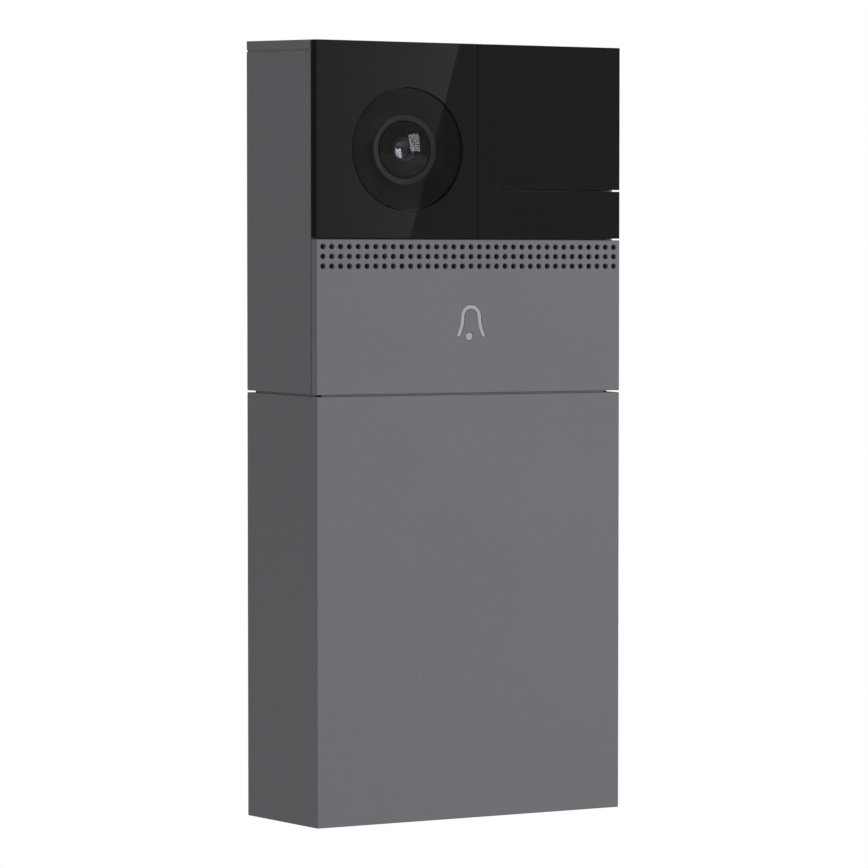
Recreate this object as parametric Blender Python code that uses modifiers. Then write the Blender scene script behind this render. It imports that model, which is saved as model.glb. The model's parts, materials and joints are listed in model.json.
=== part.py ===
"""A battery video doorbell: a two-part grey case with a black sensor head, hung on a wall bracket.

Metres, +Z up. The origin is the centre of the bracket's back face, on the wall. The front faces -Y.
"""

import math

import bmesh
import bpy
from mathutils import Matrix, Vector

# ---- Driving dimensions --------------------------------------------------------------------------

HEIGHT = 0.1370  # of the front face
WIDTH = 0.0602  # of the front face
DEPTH = 0.0272  # of the case, front face to rear rim
DRAFT = 0.00103  # how far each side spreads from the front face to the rear rim
REAR_RELIEF = 0.0005  # between the case's rear rim and the wall

WALL = 0.0013  # side walls of both shells
FRONT_WALL = 0.0016  # of the upper housing, behind the panels
END_WALL = 0.0016  # top cap, and the lower cover's bottom
GAP = 0.0003  # between pieces that touch
SEAM = 0.00034  # open line between the head and the lower cover

SEAM_Z = 0.00685
HEAD_LINE_Z = 0.03415  # between the button plate and the black panels
STRIP_LINE_Z = 0.04288  # between the two black panels on the right
PANEL_LINE_X = 0.00128  # between the camera window and the panels on its right

PANEL = 0.0021  # thickness of the black panels
KEY_TRAVEL = 0.00025  # of the button plate
KEY_SPARE = 0.00015  # left behind the button plate when it is fully pressed
FLANGE = 0.0005  # how much deeper the right-hand panels are along their outer edge
FLANGE_WIDTH = 0.0026

LENS_X = -0.01245
LENS_Z = 0.04978
BEZEL_RADIUS = 0.0105
DISH_RADIUS = 0.0078
STEP_RADIUS = 0.0061
DOME_RADIUS = 0.00475
BARREL_RADIUS = 0.0063
LENS_COVER = 0.0003  # thickness of the flat glass over the lens

HOLE_RADIUS = 0.000475
HOLE_PITCH = 0.0017
HOLE_ROWS = 3
HOLE_INSET = 0.00139  # of the top row under the line above the button plate
HOLE_EDGE = 0.0010  # least distance from a row's ends to the plate's sides

BELL_Z = 0.01970  # middle of the bell sign and of its switch
BELL_STROKE = 0.00072
BELL_DEPTH = 0.0006
BELL_DOT_RADIUS = 0.0007

BATTERY_WIDTH = 0.0440
BATTERY_DEPTH = 0.0164
CHARGING_BAY = 0.0108  # height of the space under the battery

BRACKET_WIDTH = 0.0440
BRACKET_HEIGHT = 0.0960
BRACKET_PLATE = 0.0020
HOOK_X = 0.0140
HOOK_Z = 0.0300
HOOK_WIDTH = 0.0080
HOOK_NECK = 0.0020  # height of a hook's neck
HOOK_RISE = 0.0040  # how far a hook's lip stands up behind the rear cover
HOOK_LIP = 0.0016  # thickness of that lip
LIFT_SPARE = 0.0015  # how much further than the lips the doorbell lifts

REAR_PLATE = 0.0020  # floor of the rear cover
REAR_RIM = 0.0015
CHASSIS_PLATE = 0.0015

SCREW_SHAFT = 0.0010
SCREW_HEAD = 0.0022
HEAD_HEIGHT = 0.0010

# ---- Dependent places: the stack from the front face (-Y) to the wall (y = 0) --------------------

REAR_Y = -REAR_RELIEF
FRONT_Y = REAR_Y - DEPTH
PANEL_BACK = FRONT_Y + PANEL
HOUSING_Y = PANEL_BACK + GAP
HOUSING_BACK = HOUSING_Y + FRONT_WALL
BEHIND_WALL = HOUSING_BACK + GAP
FLANGE_Y = HOUSING_Y + FLANGE
KEY = HOUSING_Y - KEY_TRAVEL - KEY_SPARE - FRONT_Y  # thickness of the button plate

PLATE_Y = -BRACKET_PLATE
REAR_OUT = PLATE_Y - GAP
REAR_IN = REAR_OUT - REAR_PLATE
LIP_BACK = REAR_IN - GAP
LIP_FRONT = LIP_BACK - HOOK_LIP
CHASSIS_BACK = LIP_FRONT - 0.0005
CHASSIS_FRONT = CHASSIS_BACK - CHASSIS_PLATE
BOARD_BACK = CHASSIS_FRONT - GAP
BOARD = 0.0012
BOARD_FRONT = BOARD_BACK - BOARD
ON_BOARD = BOARD_FRONT - GAP

HALF_WIDTH = WIDTH / 2
HALF_HEIGHT = HEIGHT / 2
INSIDE = HALF_WIDTH - WALL
CORE = INSIDE - GAP  # half width of what fits between the side walls, at the front face
HEAD_BOTTOM = SEAM_Z + SEAM / 2
COVER_TOP = SEAM_Z - SEAM / 2
CAP_BOTTOM = HALF_HEIGHT - END_WALL
SHELL_TOP = CAP_BOTTOM - GAP
COVER_FLOOR = -HALF_HEIGHT + END_WALL
CORE_BOTTOM = COVER_FLOOR + GAP

BULKHEAD = 0.0015
BULKHEAD_TOP = HEAD_BOTTOM - 0.0001  # a hair under the button plate, which slides over it
BULKHEAD_BOTTOM = BULKHEAD_TOP - BULKHEAD
FAR = 0.010  # how far a cutter runs past what it cuts

CONTACT_HEIGHT = 0.0026
BATTERY_TOP = BULKHEAD_BOTTOM - CONTACT_HEIGHT - 2 * GAP
BATTERY_BOTTOM = CORE_BOTTOM + CHARGING_BAY
BATTERY_HEIGHT = BATTERY_TOP - BATTERY_BOTTOM
HOLE_TOP_Z = HEAD_LINE_Z - HOLE_INSET
HOLE_COLUMNS = 1 + int((WIDTH - 2 * HOLE_EDGE) / HOLE_PITCH)
FIRST_HOLE_X = -HOLE_PITCH * (HOLE_COLUMNS - 1) / 2
LIFT = HOOK_RISE + LIFT_SPARE

# ---- Scene and helpers ---------------------------------------------------------------------------

for old in list(bpy.data.objects):
    bpy.data.objects.remove(old)

parts = bpy.data.collections.new("video_doorbell")
helpers = bpy.data.collections.new("cutters")
for group in (parts, helpers):
    bpy.context.scene.collection.children.link(group)


def paint(name, grey, tint=0.0, roughness=0.5, metallic=0.0, alpha=1.0):
    """A Principled material. grey and tint are display values from 0 to 1; tint adds blue."""
    material = bpy.data.materials.new(name)
    material.use_nodes = True
    shader = material.node_tree.nodes["Principled BSDF"]
    linear = [channel**2.2 for channel in (grey, grey, grey + tint)]
    shader.inputs["Base Color"].default_value = (*linear, 1.0)
    shader.inputs["Roughness"].default_value = roughness
    shader.inputs["Metallic"].default_value = metallic
    shader.inputs["Alpha"].default_value = alpha
    return material


CASE = paint("case_grey", 0.44, tint=0.02, roughness=0.55)
GLOSS = paint("gloss_black", 0.04, roughness=0.06)
BLACK = paint("moulded_black", 0.08, roughness=0.6)
GLASS = paint("lens_glass", 0.05, roughness=0.02, alpha=0.4)
SIGN = paint("sign_grey", 0.62, tint=0.01, roughness=0.45)
STEEL = paint("screw_steel", 0.65, roughness=0.3, metallic=1.0)
BRASS = paint("contact_gold", 0.75, tint=-0.35, roughness=0.25, metallic=1.0)
BOARD_GREEN = paint("board_green", 0.20, tint=-0.06, roughness=0.45)
RUBBER = paint("soft_rubber", 0.12, roughness=0.85)
WHITE = paint("milk_plastic", 0.85, roughness=0.5)
CELL = paint("battery_wrap", 0.22, tint=0.12, roughness=0.4)
PAPER = paint("speaker_paper", 0.10, roughness=0.9)


def spread(y):
    """How much wider the case is at depth y than at its front face, as a share of the draft."""
    return (y - FRONT_Y) / DEPTH


def drafted(bm):
    """Spreads a shape of the case outwards with depth, so that its sides follow the draft."""
    for vert in bm.verts:
        share = DRAFT * spread(vert.co.y)
        vert.co.x *= 1 + share / HALF_WIDTH
        vert.co.z *= 1 + share / HALF_HEIGHT
    return bm


def block(x, y, z):
    """A box between the pairs of limits x, y and z."""
    bm = bmesh.new()
    bmesh.ops.create_cube(bm, size=1.0)
    for vert in bm.verts:
        vert.co = Vector(
            low + (part + 0.5) * (high - low) for part, (low, high) in zip(vert.co, (x, y, z))
        )
    return bm


def rod(radius, ends, axis, across, sides=24):
    """A cylinder along axis X, Y or Z between two ends, through the point across."""
    bm = bmesh.new()
    low, high = ends
    bmesh.ops.create_cone(
        bm,
        cap_ends=True,
        segments=sides,
        radius1=radius,
        radius2=radius,
        depth=high - low,
    )
    middle = (low + high) / 2
    if axis == "Y":
        turn = Matrix.Rotation(math.radians(-90), 4, "X")
        place = Vector((across[0], middle, across[1]))
    elif axis == "X":
        turn = Matrix.Rotation(math.radians(90), 4, "Y")
        place = Vector((middle, across[0], across[1]))
    else:
        turn = Matrix.Identity(4)
        place = Vector((across[0], across[1], middle))
    bm.transform(Matrix.Translation(place) @ turn)
    return bm


def gather(shapes):
    """One bmesh that holds several separate shapes."""
    whole = bmesh.new()
    for shape in shapes:
        mesh = bpy.data.meshes.new("shape")
        shape.to_mesh(mesh)
        whole.from_mesh(mesh)
        shape.free()
        bpy.data.meshes.remove(mesh)
    return whole


def as_object(name, bm, group):
    mesh = bpy.data.meshes.new(name)
    bm.to_mesh(mesh)
    bm.free()
    obj = bpy.data.objects.new(name, mesh)
    group.objects.link(obj)
    return obj


def helper(name, bm):
    """A cutter or a joined shape: drawn as wire and left out of the render."""
    obj = as_object(name, bm, helpers)
    obj.hide_render = True
    obj.display_type = "WIRE"
    return obj


def boolean(obj, operation, shapes, label):
    """Cuts the shapes from obj, or joins them to it, one live modifier for each call."""
    tool = helper(f"{obj.name}_{label}", gather(shapes))
    if obj.parent:
        tool.parent = obj.parent
        tool.matrix_parent_inverse = Matrix.Translation(-obj.parent.location)
    modifier = obj.modifiers.new(label, "BOOLEAN")
    modifier.operation = operation
    modifier.solver = "EXACT"
    modifier.object = tool


def cut(obj, *shapes, label="cut"):
    boolean(obj, "DIFFERENCE", shapes, label)


def join(obj, *shapes, label="join"):
    for number, shape in enumerate(shapes):
        boolean(obj, "UNION", [shape], f"{label}_{number}")


def piece(name, bm, material, body, smooth=False):
    """One sub-part, riding on a body's empty."""
    bm.transform(Matrix.Translation(-body.location))
    obj = as_object(name, bm, parts)
    obj.parent = body
    obj.data.materials.append(material)
    if smooth:
        obj.data.shade_smooth()
        obj.data.set_sharp_from_angle(angle=math.radians(35))
    return obj


def turned(name, profile, material, body, across=(0.0, 0.0), steps=32):
    """A piece turned about an axis along Y, from (radius, y) points that run back on the outer side.

    A profile that starts and ends on the axis makes a solid; any other is closed into a ring.
    """
    bm = bmesh.new()
    points = [bm.verts.new((radius, 0.0, -y)) for radius, y in profile]
    last = len(points) - (1 if profile[0][0] == 0.0 else 0)
    for index in range(last):
        bm.edges.new((points[index], points[(index + 1) % len(points)]))
    obj = as_object(name, bm, parts)
    obj.data.materials.append(material)
    obj.parent = body
    x, z = across
    place = Matrix.Translation(Vector((x, 0.0, z)) - body.location)
    obj.matrix_local = place @ Matrix.Rotation(math.radians(90), 4, "X")
    screw = obj.modifiers.new("turn", "SCREW")
    screw.axis = "Z"
    screw.steps = steps
    screw.render_steps = steps
    screw.use_merge_vertices = True
    screw.merge_threshold = 0.00001
    return obj


def body_frame(name, place=(0.0, 0.0, 0.0)):
    """The empty that a rigid body's pieces are parented to, on its joint's axis."""
    empty = bpy.data.objects.new(name, None)
    empty.location = place
    empty.empty_display_size = 0.01
    parts.objects.link(empty)
    return empty


def drafted_z(y, z):
    """The height at which a point of the undrafted case comes to lie."""
    return z * (1 + DRAFT * spread(y) / HALF_HEIGHT)


def around(middle, half):
    """The pair of limits half to each side of middle."""
    return middle - half, middle + half


# ---- Wall bracket --------------------------------------------------------------------------------

bracket_body = body_frame("bracket_frame")
main_body = body_frame("main_frame")

WIRE_HALF = 0.0100
WIRE_TOP = -0.0100
WIRE_BOTTOM = -0.0240
WALL_SCREW_Z = 0.0400
WALL_SCREW_RADIUS = 0.0021
BRACKET_CORNER = 0.0050
CORNER_STEPS = 4
HOOKS = [(x, z) for x in (-HOOK_X, HOOK_X) for z in (-HOOK_Z, HOOK_Z)]


def wall_bracket():
    """A flat plate with rounded corners, four upturned hooks, two screw holes and a wire window."""
    bm = block(around(0.0, BRACKET_WIDTH / 2), (PLATE_Y, 0.0), around(0.0, BRACKET_HEIGHT / 2))
    corners = [e for e in bm.edges if abs(e.verts[0].co.y - e.verts[1].co.y) > BRACKET_PLATE / 2]
    bmesh.ops.bevel(
        bm, geom=corners, offset=BRACKET_CORNER, segments=CORNER_STEPS, affect="EDGES", profile=0.5
    )
    plate = piece("wall_bracket", bm, BLACK, bracket_body)
    for x, z in HOOKS:
        across = around(x, HOOK_WIDTH / 2)
        neck = block(across, (LIP_FRONT, PLATE_Y / 2), (z, z + HOOK_NECK))
        lip = block(across, (LIP_FRONT, LIP_BACK), (z + HOOK_NECK / 2, z + HOOK_NECK + HOOK_RISE))
        join(plate, neck, lip)
    holes = [rod(WALL_SCREW_RADIUS, (-FAR, FAR), "Y", (0.0, z)) for z in (-WALL_SCREW_Z, WALL_SCREW_Z)]
    window = block(around(0.0, WIRE_HALF), (-FAR, FAR), (WIRE_BOTTOM, WIRE_TOP))
    cut(plate, window, *holes)


# ---- Rear cover, chassis and the screws that clamp them ------------------------------------------

CASE_SCREW_X = 0.0230
CASE_SCREW_Z = 0.0580
CASE_SCREWS = {
    f"case_screw_{level}_{side}": (sign_x * CASE_SCREW_X, sign_z * CASE_SCREW_Z)
    for level, sign_z in (("upper", 1), ("lower", -1))
    for side, sign_x in (("left", -1), ("right", 1))
}
SCREW_Y = REAR_OUT - GAP  # rear face of the case screws' heads
TERMINAL_HALF = 0.0080
TERMINAL_HEIGHT = 0.0100
TERMINAL_Z = (WIRE_TOP + WIRE_BOTTOM) / 2
TERMINAL_SCREW_X = 0.0038
TERMINAL_FACE = REAR_OUT - HEAD_HEIGHT - 2 * GAP
RECESS_REACH = 0.6  # of a screw head's radius, for each arm of its crossed recess
RECESS_HALF = 0.14  # of the radius, for half an arm's width
RECESS_DEPTH = 0.6  # of the head's height


def machine_screw(name, face_y, end_y, place):
    """A screw whose head's face is at face_y and whose shaft ends at end_y, with a crossed recess."""
    head_y = face_y - HEAD_HEIGHT
    head = rod(SCREW_HEAD, (head_y, face_y), "Y", place, 20)
    screw = piece(name, head, STEEL, main_body, smooth=True)
    join(screw, rod(SCREW_SHAFT, (end_y, head_y + HEAD_HEIGHT / 2), "Y", place, 12))
    x, z = place
    arm, half = SCREW_HEAD * RECESS_REACH, SCREW_HEAD * RECESS_HALF
    depth = (face_y - HEAD_HEIGHT * RECESS_DEPTH, face_y + FAR)
    cut(screw, block(around(x, arm), depth, around(z, half)), label="slot_across")
    cut(screw, block(around(x, half), depth, around(z, arm)), label="slot_down")


def rear_cover():
    """A dished plate: a floor with a raised rim, slots for the hooks, and recesses for the screws."""
    limits = (around(0.0, CORE), (REAR_IN, REAR_Y), (CORE_BOTTOM, SHELL_TOP))
    cover = piece("rear_cover", drafted(block(*limits)), CASE, main_body)
    dish_half = CORE - REAR_RIM
    dish = block(around(0.0, dish_half), (REAR_OUT, FAR), (CORE_BOTTOM + REAR_RIM, SHELL_TOP - REAR_RIM))
    cut(cover, drafted(dish), label="dish")
    half_slot = HOOK_WIDTH / 2 + GAP
    slots = [
        block(around(x, half_slot), (-FAR, FAR), (z - LIFT - GAP, z + HOOK_NECK + GAP)) for x, z in HOOKS
    ]
    window = block(
        around(0.0, TERMINAL_HALF + GAP), (-FAR, FAR), around(TERMINAL_Z, TERMINAL_HEIGHT / 2 + GAP)
    )
    recess = (SCREW_Y - HEAD_HEIGHT - GAP, FAR)
    recesses = [rod(SCREW_HEAD + GAP, recess, "Y", place, 20) for place in CASE_SCREWS.values()]
    cut(cover, window, *slots, *recesses, label="openings")
    bores = [rod(SCREW_SHAFT + GAP, (-FAR, FAR), "Y", place, 12) for place in CASE_SCREWS.values()]
    cut(cover, *bores, label="bores")
    for name, place in CASE_SCREWS.items():
        machine_screw(name, SCREW_Y, CHASSIS_FRONT + GAP / 2, place)


def terminal_block():
    """The block for the doorbell's wires, seen through the bracket's window, with its two screws."""
    solid = block(
        around(0.0, TERMINAL_HALF),
        (CHASSIS_BACK + GAP, TERMINAL_FACE),
        around(TERMINAL_Z, TERMINAL_HEIGHT / 2),
    )
    terminals = piece("terminal_block", solid, BLACK, main_body)
    places = {"left": (-TERMINAL_SCREW_X, TERMINAL_Z), "right": (TERMINAL_SCREW_X, TERMINAL_Z)}
    bore = (TERMINAL_FACE - HEAD_HEIGHT, FAR)
    cut(terminals, *(rod(SCREW_SHAFT + GAP, bore, "Y", place, 12) for place in places.values()))
    for side, place in places.items():
        face_y = TERMINAL_FACE + GAP + HEAD_HEIGHT
        machine_screw(f"terminal_screw_{side}", face_y, TERMINAL_FACE - HEAD_HEIGHT / 2, place)


USB_WIDTH = 0.0090
USB_THICK = 0.0032
USB_LENGTH = 0.0073
USB_WALL = 0.0003
USB_BACK = ON_BOARD
USB_FRONT = USB_BACK - USB_THICK
USB_BOTTOM = CORE_BOTTOM + 0.0005
RESET_RADIUS = 0.0009
RESET_LENGTH = 0.0045
RESET_SPACE = 0.0012  # between the socket and the reset button
RESET_X = USB_WIDTH / 2 + RESET_RADIUS + RESET_SPACE
RESET_Y = (USB_FRONT + USB_BACK) / 2
SECURITY_Y = -0.0215
SECURITY_HEAD = 0.0024
SECURITY_HEAD_HEIGHT = 0.0008
SECURITY_SHAFT = 0.00125
SECURITY_END = BATTERY_BOTTOM - 0.0040
BOSS_WALL = 0.0012
PLATE_MARGIN = 0.001  # by which the chassis plate is smaller than the space in the shells
FLOOR_MARGIN = 0.003  # by which the chassis floor is wider than the battery at each side


def chassis():
    """The black core: a back plate, a bulkhead across the seam and a floor under the battery."""
    back = block(
        around(0.0, CORE - PLATE_MARGIN),
        (CHASSIS_FRONT, CHASSIS_BACK),
        (CORE_BOTTOM, SHELL_TOP - PLATE_MARGIN),
    )
    frame = piece("chassis", back, BLACK, main_body)
    bulkhead = block(
        around(0.0, CORE), (FRONT_Y + WALL + GAP, REAR_IN - GAP), (BULKHEAD_BOTTOM, BULKHEAD_TOP)
    )
    floor = block(
        around(0.0, BATTERY_WIDTH / 2 + FLOOR_MARGIN),
        (FRONT_Y + WALL + 2 * GAP, CHASSIS_BACK - CHASSIS_PLATE / 2),
        (CORE_BOTTOM, CORE_BOTTOM + CHASSIS_PLATE),
    )
    bore = SECURITY_SHAFT + GAP
    security_place = (0.0, SECURITY_Y)
    boss = rod(bore + BOSS_WALL, (CORE_BOTTOM + CHASSIS_PLATE / 2, SECURITY_END), "Z", security_place)
    join(frame, drafted(bulkhead), floor, boss)
    holes = [rod(SCREW_SHAFT + GAP, (-FAR, FAR), "Y", place, 12) for place in CASE_SCREWS.values()]
    holes.append(rod(bore, (-HEIGHT, SECURITY_END + FAR / 4), "Z", security_place, 16))
    port = block(
        around(0.0, USB_WIDTH / 2 + GAP),
        (USB_FRONT - GAP, USB_BACK + GAP / 2),
        (-HEIGHT, CORE_BOTTOM + FAR),
    )
    holes.append(port)
    holes.append(rod(RESET_RADIUS + GAP, (-HEIGHT, CORE_BOTTOM + FAR), "Z", (RESET_X, RESET_Y), 16))
    cut(frame, *holes)


# ---- Upper housing and top cap -------------------------------------------------------------------

PANEL_SEAM = 0.0003
PANELS_BOTTOM = HEAD_LINE_Z + PANEL_SEAM / 2
PIR_X = 0.0157
PIR_Z = 0.0560
PIR_HALF = 0.0088
IR_RADIUS = 0.0015
IR_PLACES = {"left": (-0.0246, 0.0622), "right": (-0.0020, 0.0622)}
STRIP_Z = (PANELS_BOTTOM + STRIP_LINE_Z) / 2
LIGHT_PLACE = (0.0120, STRIP_Z)
STATUS_PLACE = (0.0190, STRIP_Z)
SMALL_WINDOW = 0.0012
SOUND_HALF = -FIRST_HOLE_X - HOLE_PITCH
SOUND_LOW = HOLE_TOP_Z - (HOLE_ROWS - 1) * HOLE_PITCH - HOLE_RADIUS - GAP
SOUND_HIGH = HOLE_TOP_Z + HOLE_RADIUS + GAP
PLUNGER_RADIUS = 0.00175
SWITCH_FRONT = BEHIND_WALL + 0.0011
SWITCH_DEPTH = 0.0037
SWITCH_HALF = 0.0030
SWITCH_BACK = SWITCH_FRONT + SWITCH_DEPTH
SMALL_BOARD = 0.0010  # thickness of the small boards
POST_RADIUS = 0.0015
POST_X = -0.0070
POST_SPACING = 0.0055  # of each post from the middle of the bell


def flange_notch():
    """What is cut from the shell's front edge for the right-hand panels' deeper outer edge."""
    return block(
        (HALF_WIDTH - FLANGE_WIDTH - GAP, HALF_WIDTH + FAR),
        (FRONT_Y - FAR, FLANGE_Y),
        (HEAD_LINE_Z - PANEL_SEAM / 2, HALF_HEIGHT + FAR),
    )


def upper_housing():
    """A shell open at the back, top and bottom, with a front wall that carries the panels."""
    outside = block(around(0.0, HALF_WIDTH), (HOUSING_Y, REAR_Y), (HEAD_BOTTOM, SHELL_TOP))
    shell = piece("upper_housing", drafted(outside), CASE, main_body)
    inside = block(
        around(0.0, INSIDE), (HOUSING_BACK, REAR_Y + FAR), (HEAD_BOTTOM - FAR, SHELL_TOP + FAR)
    )
    cut(shell, drafted(inside), label="inside")
    posts = [
        rod(POST_RADIUS, (HOUSING_BACK - FRONT_WALL / 2, SWITCH_BACK), "Y", (POST_X, z), 12)
        for z in around(BELL_Z, POST_SPACING)
    ]
    join(shell, *posts)
    through = (FRONT_Y - FAR, HOUSING_BACK + GAP)
    holes = [
        rod(BARREL_RADIUS + GAP, through, "Y", (LENS_X, LENS_Z), 32),
        rod(PLUNGER_RADIUS + GAP, through, "Y", (0.0, BELL_Z), 16),
        block(around(PIR_X, PIR_HALF), through, around(PIR_Z, PIR_HALF)),
        block(around(0.0, SOUND_HALF), through, (SOUND_LOW, SOUND_HIGH)),
        rod(SMALL_WINDOW, through, "Y", LIGHT_PLACE, 12),
        rod(SMALL_WINDOW, through, "Y", STATUS_PLACE, 12),
    ]
    holes.extend(rod(IR_RADIUS + GAP, through, "Y", place, 16) for place in IR_PLACES.values())
    cut(shell, *holes, label="holes")
    cut(shell, drafted(flange_notch()), label="notch")


def top_cap():
    """The plate that closes the housing's top, behind the panels."""
    solid = block(around(0.0, HALF_WIDTH), (HOUSING_Y, REAR_Y), (CAP_BOTTOM, HALF_HEIGHT))
    cap = piece("top_cap", drafted(solid), CASE, main_body)
    cut(cap, drafted(flange_notch()))


# ---- Black panels --------------------------------------------------------------------------------

def panel(name, x, z, flange=False):
    """A gloss panel of the sensor head. With a flange, its right-hand edge is deeper."""
    back = PANEL_BACK + (FLANGE if flange else 0.0)
    obj = piece(name, drafted(block(x, (FRONT_Y, back), z)), GLOSS, main_body)
    if flange:
        relief = block((-WIDTH, HALF_WIDTH - FLANGE_WIDTH), (PANEL_BACK, FAR), (-HEIGHT, HEIGHT))
        cut(obj, relief, label="relief")
    return obj


def panels():
    left = (-HALF_WIDTH, PANEL_LINE_X - PANEL_SEAM / 2)
    right = (PANEL_LINE_X + PANEL_SEAM / 2, HALF_WIDTH)
    window = panel("camera_window", left, (PANELS_BOTTOM, HALF_HEIGHT))
    cut(window, rod(BEZEL_RADIUS + GAP, (-HEIGHT, 0.0), "Y", (LENS_X, LENS_Z), 48), label="lens")
    panel("motion_cover", right, (STRIP_LINE_Z + PANEL_SEAM / 2, HALF_HEIGHT), flange=True)
    panel("sensor_strip", right, (PANELS_BOTTOM, STRIP_LINE_Z - PANEL_SEAM / 2), flange=True)


# ---- Camera --------------------------------------------------------------------------------------

BEZEL_Y = FRONT_Y + LENS_COVER + GAP / 2
DISH_DEPTH = 0.0007
DOME_RISE = 0.0009
DOME_SETBACK = 0.00015
BARREL_Y = HOUSING_Y + 0.0002
BARREL_LENGTH = 0.0076
BARREL_MOUTH = 0.0054
EYE_RADIUS = 0.0019
EYE_RISE = 0.0005
EYE_LENGTH = 0.0012
EYE_Y = BARREL_Y + 0.0021
HOLDER_HALF = 0.0065
HOLDER_DEPTH = 0.0032
HOLDER_WALL = 0.0018
SENSOR_DEPTH = 0.0011
CAMERA_BOARD_HALF = 0.0090
CONNECTOR_HALF_X = 0.0040
CONNECTOR_HALF_Z = 0.0015
LENS_PLACE = (LENS_X, LENS_Z)


def cap_arc(radius, rise, apex_y, count=6):
    """Points of a spherical cap's profile, from its apex on the axis out to its rim."""
    sphere = (radius**2 + rise**2) / (2 * rise)
    reach = math.asin(radius / sphere)
    angles = [reach * step / count for step in range(count + 1)]
    return [(sphere * math.sin(a), apex_y + sphere * (1 - math.cos(a))) for a in angles]


def camera():
    """The flat cover glass, the bezel, the dome and everything behind them, to the camera's board."""
    glass = rod(BEZEL_RADIUS, (FRONT_Y, FRONT_Y + LENS_COVER), "Y", LENS_PLACE, 48)
    piece("lens_cover", glass, GLASS, main_body, smooth=True)
    bore = DOME_RADIUS + GAP
    bezel = [
        (BEZEL_RADIUS, BEZEL_Y),
        (BEZEL_RADIUS, PANEL_BACK),
        (bore, PANEL_BACK),
        (bore, BEZEL_Y + DISH_DEPTH),
        (STEP_RADIUS, BEZEL_Y + DISH_DEPTH),
        (DISH_RADIUS, BEZEL_Y),
    ]
    turned("lens_bezel", bezel, GLOSS, main_body, LENS_PLACE, 48)
    dome_back = BARREL_Y - GAP
    dome = cap_arc(DOME_RADIUS, DOME_RISE, BEZEL_Y + DOME_SETBACK)
    dome += [(DOME_RADIUS, dome_back), (0.0, dome_back)]
    turned("lens_dome", dome, GLASS, main_body, LENS_PLACE, 32)
    eye_bore = EYE_RADIUS + GAP
    barrel_end = BARREL_Y + BARREL_LENGTH
    eye_end = EYE_Y + EYE_LENGTH
    barrel = [
        (0.0, eye_end + GAP),
        (eye_bore, eye_end + GAP),
        (eye_bore, EYE_Y),
        (BARREL_MOUTH, BARREL_Y + GAP),
        (BARREL_MOUTH, BARREL_Y),
        (BARREL_RADIUS, BARREL_Y),
        (BARREL_RADIUS, barrel_end),
        (0.0, barrel_end),
    ]
    turned("lens_barrel", barrel, BLACK, main_body, LENS_PLACE, 32)
    eye = cap_arc(EYE_RADIUS, EYE_RISE, EYE_Y - GAP, 3) + [(EYE_RADIUS, eye_end), (0.0, eye_end)]
    turned("inner_lens", eye, GLASS, main_body, LENS_PLACE, 24)

    holder_y = barrel_end + GAP
    holder_end = holder_y + HOLDER_DEPTH
    x, z = (around(middle, HOLDER_HALF) for middle in LENS_PLACE)
    holder = piece("lens_holder", block(x, (holder_y, holder_end), z), BLACK, main_body)
    x, z = (around(middle, HOLDER_HALF - HOLDER_WALL) for middle in LENS_PLACE)
    cut(holder, block(x, (holder_end - SENSOR_DEPTH - GAP, holder_end + FAR), z))
    x, z = (around(middle, HOLDER_HALF - HOLDER_WALL - GAP) for middle in LENS_PLACE)
    chip = block(x, (holder_end - SENSOR_DEPTH, holder_end), z)
    piece("image_sensor", chip, BLACK, main_body)
    board_y = holder_end + GAP
    x, z = (around(middle, CAMERA_BOARD_HALF) for middle in LENS_PLACE)
    board_end = board_y + SMALL_BOARD
    piece("camera_board", block(x, (board_y, board_end), z), BOARD_GREEN, main_body)
    plug = block(
        around(LENS_X, CONNECTOR_HALF_X), (board_end + GAP, ON_BOARD), around(LENS_Z, CONNECTOR_HALF_Z)
    )
    piece("camera_connector", plug, WHITE, main_body)


# ---- Sensors and lamps ---------------------------------------------------------------------------

LAMP_LENGTH = 0.0044
LAMP_BOARD_Y = BARREL_Y + LAMP_LENGTH + GAP
LAMP_ROUNDING = 0.7  # rise of a lamp's dome, of its radius
LAMP_MARGIN = 0.0025  # of the lamps' board, past the middle of each lamp
MOTION_LENS = 0.0009  # thickness
MOTION_LENS_MARGIN = 0.0010
CAN_SPACE = 0.0025  # between the motion lens and the sensor's can
CAN_DEPTH = 0.0040
CAN_RADIUS = 0.0041
STAND_HALF = 0.0045
CHIP_HALF = 0.0015  # of the light sensor and the status lamp
CHIP_DEPTH = 0.0012
STRIP_MARGIN = 0.0030  # of the sensor board, past the middle of each chip


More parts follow.
